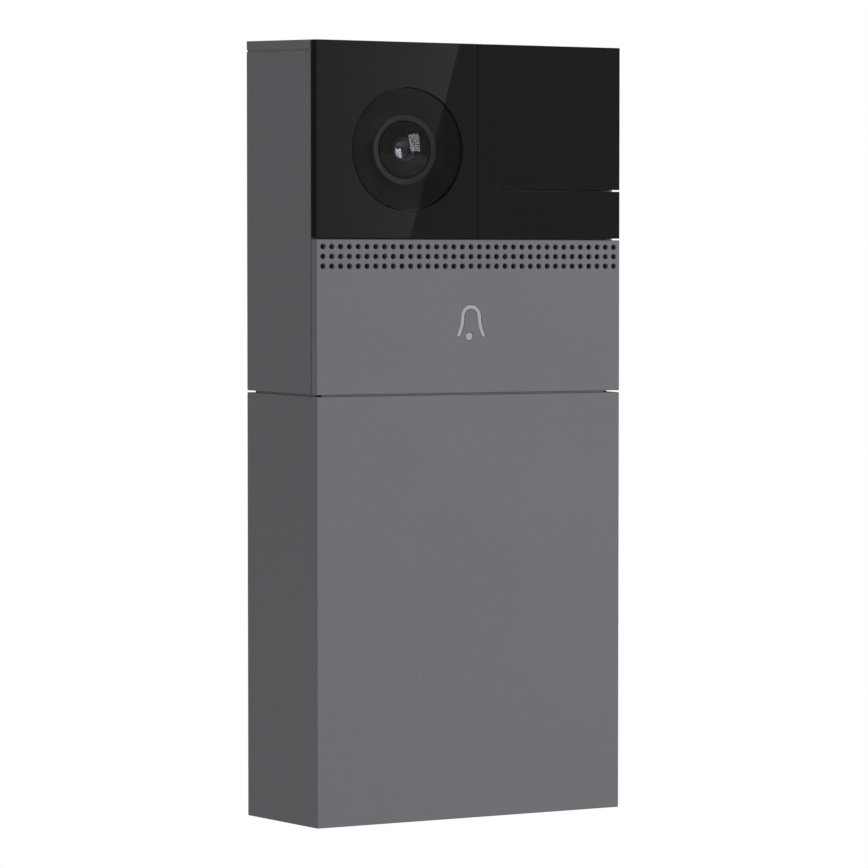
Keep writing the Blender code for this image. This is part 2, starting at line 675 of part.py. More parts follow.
def sensors():
    """Night lamps beside the lens, the motion sensor behind its lens, the light sensor and lamp."""
    for side, (x, z) in IR_PLACES.items():
        front = BARREL_Y
        base = front + LAMP_LENGTH
        lamp = cap_arc(IR_RADIUS, IR_RADIUS * LAMP_ROUNDING, front, 3) + [(IR_RADIUS, base), (0.0, base)]
        turned(f"infrared_lamp_{side}", lamp, GLASS, main_body, (x, z), 16)
    lamps_x = (IR_PLACES["left"][0] - LAMP_MARGIN, IR_PLACES["right"][0] + LAMP_MARGIN)
    board_z = (LENS_Z - CAMERA_BOARD_HALF, IR_PLACES["left"][1] + LAMP_MARGIN)
    board = block(lamps_x, (LAMP_BOARD_Y, LAMP_BOARD_Y + SMALL_BOARD), board_z)
    lamp_board = piece("infrared_board", board, BOARD_GREEN, main_body)
    cut(lamp_board, rod(BARREL_RADIUS + GAP, (-HEIGHT, 0.0), "Y", LENS_PLACE, 24))

    half = PIR_HALF + MOTION_LENS_MARGIN
    lens_end = BEHIND_WALL + MOTION_LENS
    fresnel = block(around(PIR_X, half), (BEHIND_WALL, lens_end), around(PIR_Z, half))
    piece("motion_lens", fresnel, WHITE, main_body)
    can = (lens_end + CAN_SPACE, lens_end + CAN_SPACE + CAN_DEPTH)
    piece("motion_sensor", rod(CAN_RADIUS, can, "Y", (PIR_X, PIR_Z)), STEEL, main_body, smooth=True)
    stand = block(around(PIR_X, STAND_HALF), (can[1] + GAP, ON_BOARD), around(PIR_Z, STAND_HALF))
    piece("motion_sensor_stand", stand, BLACK, main_body)

    chip_end = BEHIND_WALL + CHIP_DEPTH
    for name, place, material in (
        ("light_sensor", LIGHT_PLACE, BLACK),
        ("status_lamp", STATUS_PLACE, WHITE),
    ):
        x, z = (around(middle, CHIP_HALF) for middle in place)
        piece(name, block(x, (BEHIND_WALL, chip_end), z), material, main_body)
    strip_x = (LIGHT_PLACE[0] - STRIP_MARGIN, STATUS_PLACE[0] + STRIP_MARGIN)
    strip = block(strip_x, (chip_end + GAP, chip_end + GAP + SMALL_BOARD), around(STRIP_Z, STRIP_MARGIN))
    piece("sensor_board", strip, BOARD_GREEN, main_body)


# ---- Bell button ---------------------------------------------------------------------------------

key_body = body_frame("button_frame", (0.0, FRONT_Y, BELL_Z))
plunger_body = body_frame("plunger_frame", (0.0, FRONT_Y + KEY, BELL_Z))

SIGN_CLEARANCE = 0.00012
ARCH_RADIUS = 0.00164
ARCH_TOP = 0.02219
LEG_HEIGHT = 0.00334
LEG_FLARE = 0.00082
DOT_PLACE = (-0.00038, 0.01697)
LEG_STEPS = 4
ARCH_STEPS = 8
BUTTON_BOARD_MARGIN = 0.0020
BUTTON_BOARD_RIGHT = 0.0040


def bell_line():
    """The bell's centre line: a half round, with a leg at each side that flares out as a parabola."""
    centre = ARCH_TOP - ARCH_RADIUS
    falls = [step / LEG_STEPS for step in range(LEG_STEPS, 0, -1)]
    leg = [(ARCH_RADIUS + LEG_FLARE * fall**2, centre - LEG_HEIGHT * fall) for fall in falls]
    arch = [math.pi * step / ARCH_STEPS for step in range(ARCH_STEPS + 1)]
    crown = [(ARCH_RADIUS * math.cos(a), centre + ARCH_RADIUS * math.sin(a)) for a in arch]
    return leg + crown + [(-x, z) for x, z in reversed(leg)]


def stroke_outline(line, half):
    """The closed outline of a stroke of half-width half along a line, with round ends."""
    path = [Vector(point) for point in line]
    sides = ([], [])
    for index, point in enumerate(path):
        ahead = path[min(index + 1, len(path) - 1)] - path[max(index - 1, 0)]
        normal = Vector((-ahead.y, ahead.x)).normalized() * half
        sides[0].append(point + normal)
        sides[1].append(point - normal)

    def round_end(tip, start):
        offset = start - tip
        turns = (math.pi * step / 4 for step in range(1, 4))
        return [tip + Matrix.Rotation(-turn, 2) @ offset for turn in turns]

    return sides[0] + round_end(path[-1], sides[0][-1]) + sides[1][::-1] + round_end(path[0], sides[1][0])


def extruded(outline, y):
    """A flat outline of (x, z) points, extruded between the pair of limits y."""
    curve = bpy.data.curves.new("outline", "CURVE")
    curve.dimensions = "2D"
    curve.fill_mode = "BOTH"
    curve.extrude = (y[1] - y[0]) / 2
    spline = curve.splines.new("POLY")
    spline.points.add(len(outline) - 1)
    for point, (x, z) in zip(spline.points, outline):
        point.co = (x, z, 0.0, 1.0)
    spline.use_cyclic_u = True
    guide = bpy.data.objects.new("outline", curve)
    helpers.objects.link(guide)
    mesh = bpy.data.meshes.new_from_object(guide.evaluated_get(bpy.context.evaluated_depsgraph_get()))
    bpy.data.objects.remove(guide)
    bm = bmesh.new()
    bm.from_mesh(mesh)
    bpy.data.meshes.remove(mesh)
    bmesh.ops.remove_doubles(bm, verts=bm.verts, dist=0.000001)
    middle = Vector((0.0, (y[0] + y[1]) / 2, 0.0))
    bm.transform(Matrix.Translation(middle) @ Matrix.Rotation(math.radians(90), 4, "X"))
    return bm


def bell_button():
    """The button plate with its sound holes and inlaid bell, and the switch that it presses."""
    solid = block(
        around(0.0, HALF_WIDTH), (FRONT_Y, FRONT_Y + KEY), (HEAD_BOTTOM, HEAD_LINE_Z - PANEL_SEAM / 2)
    )
    plate = piece("button_plate", drafted(solid), CASE, key_body)
    through = (FRONT_Y - FAR, FRONT_Y + KEY + FAR)
    places = [
        (FIRST_HOLE_X + column * HOLE_PITCH, HOLE_TOP_Z - row * HOLE_PITCH)
        for row in range(HOLE_ROWS)
        for column in range(HOLE_COLUMNS)
    ]
    holes = [rod(HOLE_RADIUS, through, "Y", place, 8) for place in places]
    cut(plate, *holes, label="sound_holes")
    recess = (FRONT_Y - FAR, FRONT_Y + BELL_DEPTH + GAP)
    half = BELL_STROKE / 2
    arch_recess = extruded(stroke_outline(bell_line(), half + SIGN_CLEARANCE), recess)
    dot_recess = rod(BELL_DOT_RADIUS + SIGN_CLEARANCE, recess, "Y", DOT_PLACE, 16)
    cut(plate, arch_recess, label="arch_recess")
    cut(plate, dot_recess, label="dot_recess")
    inlay = (FRONT_Y, FRONT_Y + BELL_DEPTH)
    piece("bell_arch", extruded(stroke_outline(bell_line(), half), inlay), SIGN, key_body)
    piece("bell_dot", rod(BELL_DOT_RADIUS, inlay, "Y", DOT_PLACE, 16), SIGN, key_body, smooth=True)

    stem = (FRONT_Y + KEY + GAP, SWITCH_FRONT - KEY_TRAVEL - GAP)
    place = (0.0, BELL_Z)
    piece("button_plunger", rod(PLUNGER_RADIUS, stem, "Y", place, 16), RUBBER, plunger_body, smooth=True)
    body = block(around(0.0, SWITCH_HALF), (SWITCH_FRONT, SWITCH_BACK), around(BELL_Z, SWITCH_HALF))
    piece("button_switch", body, BLACK, main_body)
    board_y = SWITCH_BACK + GAP
    board = block(
        (POST_X - BUTTON_BOARD_MARGIN, BUTTON_BOARD_RIGHT),
        (board_y, board_y + SMALL_BOARD),
        around(BELL_Z, POST_SPACING + BUTTON_BOARD_MARGIN),
    )
    piece("button_board", board, BOARD_GREEN, main_body)


# ---- Sound and main board ------------------------------------------------------------------------

SPEAKER_RADIUS = 0.0108
SPEAKER_PLACE = (0.0162, 0.0220)
SPEAKER_DEPTH = 0.0060
SPEAKER_WALL = 0.0012
MAGNET_RADIUS = 0.0070
MAGNET_DEPTH = 0.0041
NECK_RADIUS = 0.0050  # of the basket's opening at its back
BASKET_BEND = 0.0026  # from the basket's back to where its side starts
CAP_RADIUS = 0.0028  # of the cone's middle
CAP_DEPTH = 0.0018
CONE_DEPTH = 0.0025
CONE_EDGE = 0.0003
CONE_THICK = 0.0004
MICROPHONE_HALF = 0.0020
MICROPHONE_DEPTH = 0.0012
MICROPHONE_PLACE = (-0.0200, SOUND_LOW + MICROPHONE_HALF + GAP / 2)

PROCESSOR = ((0.003, 0.015), (0.036, 0.048))
PROCESSOR_DEPTH = 0.0010
SHIELD = ((-0.024, -0.004), (0.013, 0.031))
SHIELD_DEPTH = 0.0025
MAIN_BOARD_HALF = 0.0260
MAIN_BOARD_Z = (0.0095, 0.0640)
ANTENNA_DEPTH = 0.0006
ANTENNA_Y = (-0.021, -0.013)
ANTENNA_Z = (0.038, 0.062)


def speaker():
    """The speaker behind the sound holes: a basket open to the front, its cone and its magnet."""
    front, back = BEHIND_WALL, BEHIND_WALL + SPEAKER_DEPTH
    inner = SPEAKER_RADIUS - SPEAKER_WALL
    basket = [
        (SPEAKER_RADIUS, front),
        (SPEAKER_RADIUS, back),
        (NECK_RADIUS, back),
        (NECK_RADIUS, back - SPEAKER_WALL),
        (inner, back - BASKET_BEND),
        (inner, front),
    ]
    turned("speaker_basket", basket, BLACK, main_body, SPEAKER_PLACE, 32)
    rim = inner - GAP
    cone = [
        (0.0, front + CAP_DEPTH),
        (CAP_RADIUS, front + CONE_DEPTH),
        (rim, front + CONE_EDGE),
        (rim, front + CONE_EDGE + CONE_THICK),
        (CAP_RADIUS, front + CONE_DEPTH + CONE_THICK),
        (0.0, front + CAP_DEPTH + CONE_THICK),
    ]
    turned("speaker_cone", cone, PAPER, main_body, SPEAKER_PLACE, 32)
    magnet = rod(MAGNET_RADIUS, (back + GAP, back + GAP + MAGNET_DEPTH), "Y", SPEAKER_PLACE)
    piece("speaker_magnet", magnet, STEEL, main_body, smooth=True)
    x, z = (around(middle, MICROPHONE_HALF) for middle in MICROPHONE_PLACE)
    body = block(x, (BEHIND_WALL, BEHIND_WALL + MICROPHONE_DEPTH), z)
    piece("microphone", body, BRASS, main_body)


def main_board():
    """The board on the chassis plate, with its processor, radio shield and the antenna on the wall."""
    board = block(around(0.0, MAIN_BOARD_HALF), (BOARD_FRONT, BOARD_BACK), MAIN_BOARD_Z)
    piece("main_board", board, BOARD_GREEN, main_body)
    x, z = PROCESSOR
    piece("processor", block(x, (ON_BOARD - PROCESSOR_DEPTH, ON_BOARD), z), BLACK, main_body)
    x, z = SHIELD
    piece("radio_shield", block(x, (ON_BOARD - SHIELD_DEPTH, ON_BOARD), z), STEEL, main_body)
    strip = block((CORE - ANTENNA_DEPTH, CORE), ANTENNA_Y, ANTENNA_Z)
    piece("antenna", strip, BRASS, main_body)


# ---- Battery, charging and reset -----------------------------------------------------------------

BATTERY_CORNER = 0.0025
CONTACT_HALF_X = 0.0060
CONTACT_HALF_Y = 0.0030
CHARGING_BOARD_HALF = 0.0120
SOCKET_FLOOR = 0.0015  # of the charging socket's closed end
TONGUE_HALF_X = 0.0033
TONGUE_HALF_Y = 0.00035
TONGUE_MARGIN = 0.0010  # of the tongue from each end of the socket
reset_body = body_frame("reset_frame", (RESET_X, RESET_Y, USB_BOTTOM))


def battery():
    """The pack with rounded long edges, and the contact block between it and the bulkhead."""
    pack = block(
        around(0.0, BATTERY_WIDTH / 2),
        (BOARD_BACK - BATTERY_DEPTH, BOARD_BACK),
        (BATTERY_BOTTOM, BATTERY_TOP),
    )
    upright = [e for e in pack.edges if abs(e.verts[0].co.z - e.verts[1].co.z) > BATTERY_HEIGHT / 2]
    bmesh.ops.bevel(
        pack, geom=upright, offset=BATTERY_CORNER, segments=CORNER_STEPS, affect="EDGES", profile=0.5
    )
    piece("battery_pack", pack, CELL, main_body, smooth=True)
    contact_z = (BATTERY_TOP + GAP, BATTERY_TOP + GAP + CONTACT_HEIGHT)
    contact_y = around(BOARD_BACK - BATTERY_DEPTH / 2, CONTACT_HALF_Y)
    contacts = block(around(0.0, CONTACT_HALF_X), contact_y, contact_z)
    piece("battery_contacts", contacts, BRASS, main_body)


def charging():
    """The charging board on the chassis plate, its socket that opens downwards, and the reset button."""
    top = USB_BOTTOM + USB_LENGTH
    board_z = (CORE_BOTTOM + CHASSIS_PLATE + GAP, top + TONGUE_MARGIN)
    board = block(around(0.0, CHARGING_BOARD_HALF), (BOARD_FRONT, BOARD_BACK), board_z)
    piece("charging_board", board, BOARD_GREEN, main_body)
    shell = block(around(0.0, USB_WIDTH / 2), (USB_FRONT, USB_BACK), (USB_BOTTOM, top))
    socket = piece("charging_socket", shell, STEEL, main_body)
    mouth = block(
        around(0.0, USB_WIDTH / 2 - USB_WALL),
        (USB_FRONT + USB_WALL, USB_BACK - USB_WALL),
        (USB_BOTTOM - FAR, top - SOCKET_FLOOR),
    )
    cut(socket, mouth)
    tongue = block(
        around(0.0, TONGUE_HALF_X),
        around((USB_FRONT + USB_BACK) / 2, TONGUE_HALF_Y),
        (USB_BOTTOM + TONGUE_MARGIN, top - TONGUE_MARGIN),
    )
    join(socket, tongue)
    stem = rod(RESET_RADIUS, (USB_BOTTOM, USB_BOTTOM + RESET_LENGTH), "Z", (RESET_X, RESET_Y), 16)
    piece("reset_button", stem, WHITE, reset_body, smooth=True)


# ---- Lower cover, its screw and its flap ---------------------------------------------------------

FLAP_HALF = RESET_X + RESET_RADIUS + 0.0008
FLAP_FRONT = USB_FRONT - 0.0030
FLAP_AXIS_Y = USB_BACK + 0.0025
SECURITY_SPARE = 0.0005  # between the screw's end and the top of its boss
FLAP_AXIS_Z = drafted_z(FLAP_AXIS_Y, -HALF_HEIGHT + END_WALL / 2)
FLAP_PIN = 0.00035
FLAP_PIN_GAP = 0.0002
FLAP_PIN_LENGTH = 0.0012
SECURITY_FACE = drafted_z(SECURITY_Y, -HALF_HEIGHT) + GAP
SECURITY_SEAT = SECURITY_FACE + SECURITY_HEAD_HEIGHT

cover_body = body_frame("lower_cover_frame")
security_body = body_frame("security_screw_frame", (0.0, SECURITY_Y, SECURITY_FACE))
flap_body = body_frame("charging_flap_frame", (0.0, FLAP_AXIS_Y, FLAP_AXIS_Z))
security_body.parent = cover_body
flap_body.parent = cover_body


def lower_cover():
    """The tall cover: open at the top and back, with a cut-out for the flap and a screw recess."""
    outside = block(around(0.0, HALF_WIDTH), (FRONT_Y, REAR_Y), (-HALF_HEIGHT, COVER_TOP))
    cover = piece("lower_cover", drafted(outside), CASE, cover_body)
    inside = block(around(0.0, INSIDE), (FRONT_Y + WALL, REAR_Y + FAR), (COVER_FLOOR, COVER_TOP + FAR))
    cut(cover, drafted(inside), label="inside")
    opening = block(
        around(0.0, FLAP_HALF + GAP),
        (FLAP_FRONT - GAP, FLAP_AXIS_Y + END_WALL / 2 + GAP),
        (-HEIGHT, COVER_FLOOR + FAR),
    )
    place = (0.0, SECURITY_Y)
    recess = rod(SECURITY_HEAD + GAP, (-HEIGHT, SECURITY_SEAT + GAP), "Z", place, 24)
    cut(cover, opening, recess, label="openings")
    cut(cover, rod(SECURITY_SHAFT + GAP, (-HEIGHT, COVER_FLOOR + FAR), "Z", place, 16), label="bore")
    socket_reach = FLAP_HALF + FLAP_PIN_LENGTH + GAP
    socket = rod(
        FLAP_PIN + FLAP_PIN_GAP, (-socket_reach, socket_reach), "X", (FLAP_AXIS_Y, FLAP_AXIS_Z), 12
    )
    cut(cover, socket, label="pin_sockets")


def security_screw():
    """The captive screw under the bottom, with a six-sided recess."""
    place = (0.0, SECURITY_Y)
    head = rod(SECURITY_HEAD, (SECURITY_FACE, SECURITY_SEAT), "Z", place, 24)
    screw = piece("security_screw", head, STEEL, security_body, smooth=True)
    shaft = (SECURITY_SEAT - SECURITY_HEAD_HEIGHT / 2, SECURITY_END - SECURITY_SPARE)
    join(screw, rod(SECURITY_SHAFT, shaft, "Z", place, 16))
    drive = (SECURITY_FACE - FAR, SECURITY_FACE + SECURITY_HEAD_HEIGHT * 0.75)
    cut(screw, rod(SECURITY_SHAFT, drive, "Z", place, 6))


def charging_flap():
    """The flap in the cover's bottom, with a rounded rear edge and two pins on its hinge's axis."""
    leaf = block(around(0.0, FLAP_HALF), (FLAP_FRONT, FLAP_AXIS_Y), (-HALF_HEIGHT, COVER_FLOOR))
    flap = piece("charging_flap", drafted(leaf), RUBBER, flap_body)
    axis = (FLAP_AXIS_Y, FLAP_AXIS_Z)
    reach = FLAP_HALF + FLAP_PIN_LENGTH
    knuckle = rod(END_WALL / 2, around(0.0, FLAP_HALF), "X", axis, 24)
    join(flap, knuckle, rod(FLAP_PIN, (-reach, reach), "X", axis, 12))


wall_bracket()
rear_cover()
terminal_block()
chassis()
upper_housing()
top_cap()
panels()
camera()
sensors()
bell_button()
speaker()
main_board()
battery()
charging()
lower_cover()
security_screw()
charging_flap()
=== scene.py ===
"""A battery video doorbell: its detailed surfaces and finishes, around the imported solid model.

Metres, +Z up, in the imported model's own frame: the front faces -Y and the wall is the plane y = 0.
"""

import json
import math

import bmesh
import bpy
import numpy as np
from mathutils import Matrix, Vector
from mathutils.geometry import delaunay_2d_cdt

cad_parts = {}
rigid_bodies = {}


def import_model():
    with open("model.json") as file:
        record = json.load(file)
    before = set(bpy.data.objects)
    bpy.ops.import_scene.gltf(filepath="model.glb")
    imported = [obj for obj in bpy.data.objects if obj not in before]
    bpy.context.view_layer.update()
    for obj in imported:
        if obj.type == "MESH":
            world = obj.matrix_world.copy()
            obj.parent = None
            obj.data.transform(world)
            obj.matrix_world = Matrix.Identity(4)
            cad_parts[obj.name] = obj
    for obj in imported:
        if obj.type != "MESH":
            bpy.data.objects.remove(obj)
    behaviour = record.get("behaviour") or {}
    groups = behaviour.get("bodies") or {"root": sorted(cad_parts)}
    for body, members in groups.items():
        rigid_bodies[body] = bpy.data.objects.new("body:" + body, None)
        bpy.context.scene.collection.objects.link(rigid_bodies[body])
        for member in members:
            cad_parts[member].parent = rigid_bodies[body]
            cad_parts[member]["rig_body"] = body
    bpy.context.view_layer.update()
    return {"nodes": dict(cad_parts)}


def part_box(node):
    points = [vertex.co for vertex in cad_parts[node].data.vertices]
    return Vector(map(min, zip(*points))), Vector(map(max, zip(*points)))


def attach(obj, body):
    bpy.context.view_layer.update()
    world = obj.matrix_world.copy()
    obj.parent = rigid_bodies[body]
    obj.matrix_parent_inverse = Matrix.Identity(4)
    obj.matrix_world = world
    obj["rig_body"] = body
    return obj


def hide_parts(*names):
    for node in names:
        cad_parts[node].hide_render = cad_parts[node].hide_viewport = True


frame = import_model()


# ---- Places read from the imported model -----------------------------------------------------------

def low(node):
    """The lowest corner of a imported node, as an array."""
    return np.array(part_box(node)[0])


def high(node):
    """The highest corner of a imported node, as an array."""
    return np.array(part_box(node)[1])


def middle(node):
    return (low(node) + high(node)) / 2


def half(node):
    return (high(node) - low(node)) / 2


TURN = 2 * math.pi
FRONT_WIDTH = 0.0602
FRONT_HEIGHT = 0.1370
HALF_WIDTH = FRONT_WIDTH / 2
HALF_HEIGHT = FRONT_HEIGHT / 2
FRONT_Y = low("lower_cover")[1]
REAR_Y = high("lower_cover")[1]
DRAFT = half("lower_cover")[0] - HALF_WIDTH  # how far each side spreads, front to rear
LENS = middle("lens_cover")
GAP = 0.0003


def drafted(points):
    """Spreads points outwards in proportion to their depth behind the front face, as the case does."""
    share = DRAFT * (points[..., 1] - FRONT_Y) / (REAR_Y - FRONT_Y)
    spread = points.copy()
    spread[..., 0] *= 1 + share / HALF_WIDTH
    spread[..., 2] *= 1 + share / HALF_HEIGHT
    return spread


# ---- Surfaces ------------------------------------------------------------------------------------

def circle(centre, radius, count, start=0.0):
    """A closed ring of count points: centre plus radius times (cos a, sin a), a running once round."""
    angle = start + TURN * np.arange(count) / count
    return np.asarray(centre) + radius * np.stack([np.cos(angle), np.sin(angle)], axis=-1)


def rounded_box(centre, half_size, corner, count=5):
    """A closed rectangle whose corners are quarter circles, count points each, anticlockwise."""
    quarter = np.linspace(0.0, math.pi / 2, count)
    angle = np.concatenate([quarter + turn * math.pi / 2 for turn in range(4)])
    signs = np.repeat([(1, 1), (-1, 1), (-1, -1), (1, -1)], count, axis=0)
    arcs = corner * np.stack([np.cos(angle), np.sin(angle)], axis=-1)
    return np.asarray(centre) + signs * (np.asarray(half_size) - corner) + arcs


def moved_out(outline, distance):
    """A closed anticlockwise outline with each side moved outwards by distance, and its corners mitred."""
    def outward(sides):
        along = sides / np.linalg.norm(sides, axis=1, keepdims=True)
        return np.stack([along[:, 1], -along[:, 0]], axis=-1)

    before = outward(outline - np.roll(outline, 1, axis=0))
    after = outward(np.roll(outline, -1, axis=0) - outline)
    facing = 1 + np.sum(before * after, axis=1, keepdims=True)
    return outline + distance * (before + after) / facing


def within(outline, points):
    """Which points lie inside a closed outline: those with an odd number of its sides to their right."""
    x, y = points.T[:, :, None]
    start, end = outline, np.roll(outline, -1, axis=0)
    spans = (start[:, 1] > y) != (end[:, 1] > y)
    slope = (end[:, 0] - start[:, 0]) / np.where(end[:, 1] == start[:, 1], 1.0, end[:, 1] - start[:, 1])
    return np.sum(spans & (x < start[:, 0] + slope * (y - start[:, 1])), axis=1) % 2 == 1


def filled(outlines, numbers):
    """Triangles between the first outline and the others, as the points' numbers in the mesh."""
    flat = np.concatenate(outlines)
    order = np.concatenate(numbers)
    edges = []
    first = 0
    for outline in outlines:
        count = len(outline)
        edges.extend((first + step, first + (step + 1) % count) for step in range(count))
        first += count
    coords = [Vector(point) for point in flat.tolist()]
    result = delaunay_2d_cdt(coords, edges, [], 1, 1e-9)
    source = np.array([sources[0] for sources in result[3]])
    triangles = source[np.array(result[2])]
    centres = flat[triangles].mean(axis=1)
    kept = np.ones(len(triangles), bool)
    for hole in outlines[1:]:
        kept &= ~within(hole, centres)
    return order[triangles[kept]]


def plate(outer, holes, profile, blind=(), blind_profile=()):
    """A plate whose outlines, in (x, z), are carried back along y and whose two ends are filled.

    profile is a list of (inset, y): at each y the outer outline is drawn in by inset and every hole is
    opened by it. The blind outlines open only the front face and are carried along blind_profile.
    """
    through = [outer, *holes]
    signs = [-1.0] + [1.0] * len(holes)
    points, faces = [], []
    total = 0

    def carry(outlines, ways, rows):
        nonlocal total
        firsts = np.cumsum([0] + [len(outline) for outline in outlines])
        count = firsts[-1]
        after = np.concatenate(
            [first + (np.arange(len(o)) + 1) % len(o) for first, o in zip(firsts, outlines)]
        )
        here = np.arange(count)
        for row, (inset, y) in enumerate(rows):
            flat = np.concatenate([moved_out(o, way * inset) for o, way in zip(outlines, ways)])
            points.append(np.stack([flat[:, 0], np.full(count, y), flat[:, 1]], axis=-1))
            if row:
                base = total + row * count
                above = base - count
                faces.append(np.stack([above + here, above + after, base + after, base + here], -1))
        numbers = [np.arange(a, b) for a, b in zip(firsts[:-1], firsts[1:])]
        start = total
        total += count * len(rows)
        return start, start + count * (len(rows) - 1), numbers

    front, back, numbers = carry(through, signs, profile)
    ends = [moved_out(o, way * profile[0][0]) for o, way in zip(through, signs)]
    marks = [front + n for n in numbers]
    if blind:
        ways = [1.0] * len(blind)
        mouth, floor, cups = carry(list(blind), ways, blind_profile)
        ends += [moved_out(o, blind_profile[0][0]) for o in blind]
        marks += [mouth + n for n in cups]
        for outline, cup in zip(blind, cups):
            faces.append(filled([moved_out(outline, blind_profile[-1][0])], [floor + cup]))
    faces.append(filled(ends, marks))
    last = [moved_out(o, way * profile[-1][0]) for o, way in zip(through, signs)]
    faces.append(filled(last, [back + n for n in numbers]))
    return np.concatenate(points), faces


def grid(points, wrap=True):
    """A surface through rows of points; with wrap the last point of each row joins the first."""
    rows, columns = points.shape[:2]
    down = np.arange(rows - 1)[:, None] * columns
    across = np.arange(columns if wrap else columns - 1)[None, :]
    after = (across + 1) % columns
    quads = np.stack([down + across, down + after, down + columns + after, down + columns + across], -1)
    return points.reshape(-1, 3), [quads.reshape(-1, 4)]


def turned(profile, centre, steps=64, wave=None):
    """A turned shape about the axis along y through centre: each (radius, y) makes one ring.

    wave, a function of the radius and the angle, gives what is added to y.
    """
    profile = np.asarray(profile, float)
    angle = TURN * np.arange(steps) / steps
    radius = np.repeat(profile[:, :1], steps, axis=1)
    y = np.repeat(profile[:, 1:], steps, axis=1)
    if wave is not None:
        y = y + wave(radius, angle[None, :])
    return grid(np.stack([centre[0] + radius * np.cos(angle), y, centre[2] + radius * np.sin(angle)], -1))


def upright(shape, centre):
    """Turns a shape that was made along y, about centre, so that its front faces down."""
    points, faces = shape
    x, y, z = (points - centre).T
    return np.stack([x, -z, y], axis=-1) + centre, faces


def joined(*shapes):
    """Several shapes as one, with their faces renumbered."""
    points, faces = [], []
    first = 0
    for shape_points, shape_faces in shapes:
        points.append(shape_points)
        faces.extend(part + first for part in shape_faces)
        first += len(shape_points)
    return np.concatenate(points), faces


def soft_box(lowest, highest, edge):
    """A box from corner to corner with edges cut at 45 degrees by edge."""
    centre = (np.asarray(lowest) + highest) / 2
    size = (np.asarray(highest) - lowest) / 2
    outline = rounded_box(centre[[0, 2]], size[[0, 2]], edge, 3)
    near, far = lowest[1], highest[1]
    return plate(outline, [], [(edge, near), (0.0, near + edge), (0.0, far - edge), (edge, far)])


def arc(centre, radius, start, end, count=7):
    """Points of a circular arc from start to end, in degrees, as (radius, y) pairs."""
    angle = np.radians(np.linspace(start, end, count))
    return [(centre[0] + radius * c, centre[1] + radius * s) for c, s in zip(np.cos(angle), np.sin(angle))]


def cap(radius, rise, apex_y, count=12):
    """A spherical cap's profile from its apex to its rim: y = apex + R (1 - cos a), r = R sin a."""
    sphere = (radius**2 + rise**2) / (2 * rise)
    reach = math.copysign(math.asin(min(radius / abs(sphere), 1.0)), sphere)
    angle = np.linspace(0.0, reach, count)
    return list(zip(sphere * np.sin(angle), apex_y + sphere * (1 - np.cos(angle))))


# ---- Pieces --------------------------------------------------------------------------------------

MERGE = 1e-7  # points of a new piece nearer than this are one
SOLID_MERGE = 2e-6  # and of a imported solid
FLAT = 0.6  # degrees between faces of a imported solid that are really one
CRISP = 40  # degrees at an edge that is rounded
SEGMENTS = 2  # across a rounded edge
CREASE = 20  # degrees at an edge that still shades sharp


def made(name, shape, finish, body, nodes=(), sharp=30.0):
    """A piece from a shape: poles and seams merged, faces turned outwards, smooth but for sharp edges."""
    points, faces = shape
    mesh = bpy.data.meshes.new(name)
    mesh.from_pydata(points.tolist(), [], [face for part in faces for face in part.tolist()])
    bm = bmesh.new()
    bm.from_mesh(mesh)
    bmesh.ops.remove_doubles(bm, verts=bm.verts, dist=MERGE)
    bmesh.ops.dissolve_degenerate(bm, edges=bm.edges, dist=MERGE / 10)
    bmesh.ops.recalc_face_normals(bm, faces=bm.faces)
    bm.to_mesh(mesh)
    bm.free()
    mesh.shade_smooth()
    mesh.set_sharp_from_angle(angle=math.radians(sharp))
    return settled(name, mesh, finish, body, nodes)


def settled(name, mesh, finish, body, nodes):
    """Puts a mesh into the scene with its finish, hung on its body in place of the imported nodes."""
    piece = bpy.data.objects.new(name, mesh)
    bpy.context.scene.collection.objects.link(piece)
    mesh.materials.clear()
    slot, material = finish
    mesh.materials.append(material)
    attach(piece, body)
    if nodes:
        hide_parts(*nodes)
    return piece


def softened(node, finish, edge):
    """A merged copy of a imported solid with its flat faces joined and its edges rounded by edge."""
    source = frame["nodes"][node]
    mesh = bpy.data.meshes.new(f"{node}_moulding")
    bm = bmesh.new()
    bm.from_mesh(source.data)
    bmesh.ops.remove_doubles(bm, verts=bm.verts, dist=SOLID_MERGE)
    bmesh.ops.dissolve_limit(bm, angle_limit=math.radians(FLAT), verts=bm.verts, edges=bm.edges)
    crisp = [side for side in bm.edges if side.calc_face_angle(0.0) > math.radians(CRISP)]
    bmesh.ops.bevel(
        bm, geom=crisp, offset=edge, offset_type="OFFSET", segments=SEGMENTS, profile=0.5, affect="EDGES"
    )
    bm.to_mesh(mesh)
    bm.free()
    mesh.shade_smooth()
    mesh.set_sharp_from_angle(angle=math.radians(CREASE))
    return settled(f"{node}_moulding", mesh, finish, source["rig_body"], (node,))


# ---- Finishes ------------------------------------------------------------------------------------

THIN, DENSE = 0.3, 0.7  # most of a cloud's values lie between these
BLOTCH = 0.02
BLOTCH_SHARE = 0.12  # of a wide blotch in a moulding's colour, to 1 of its grain


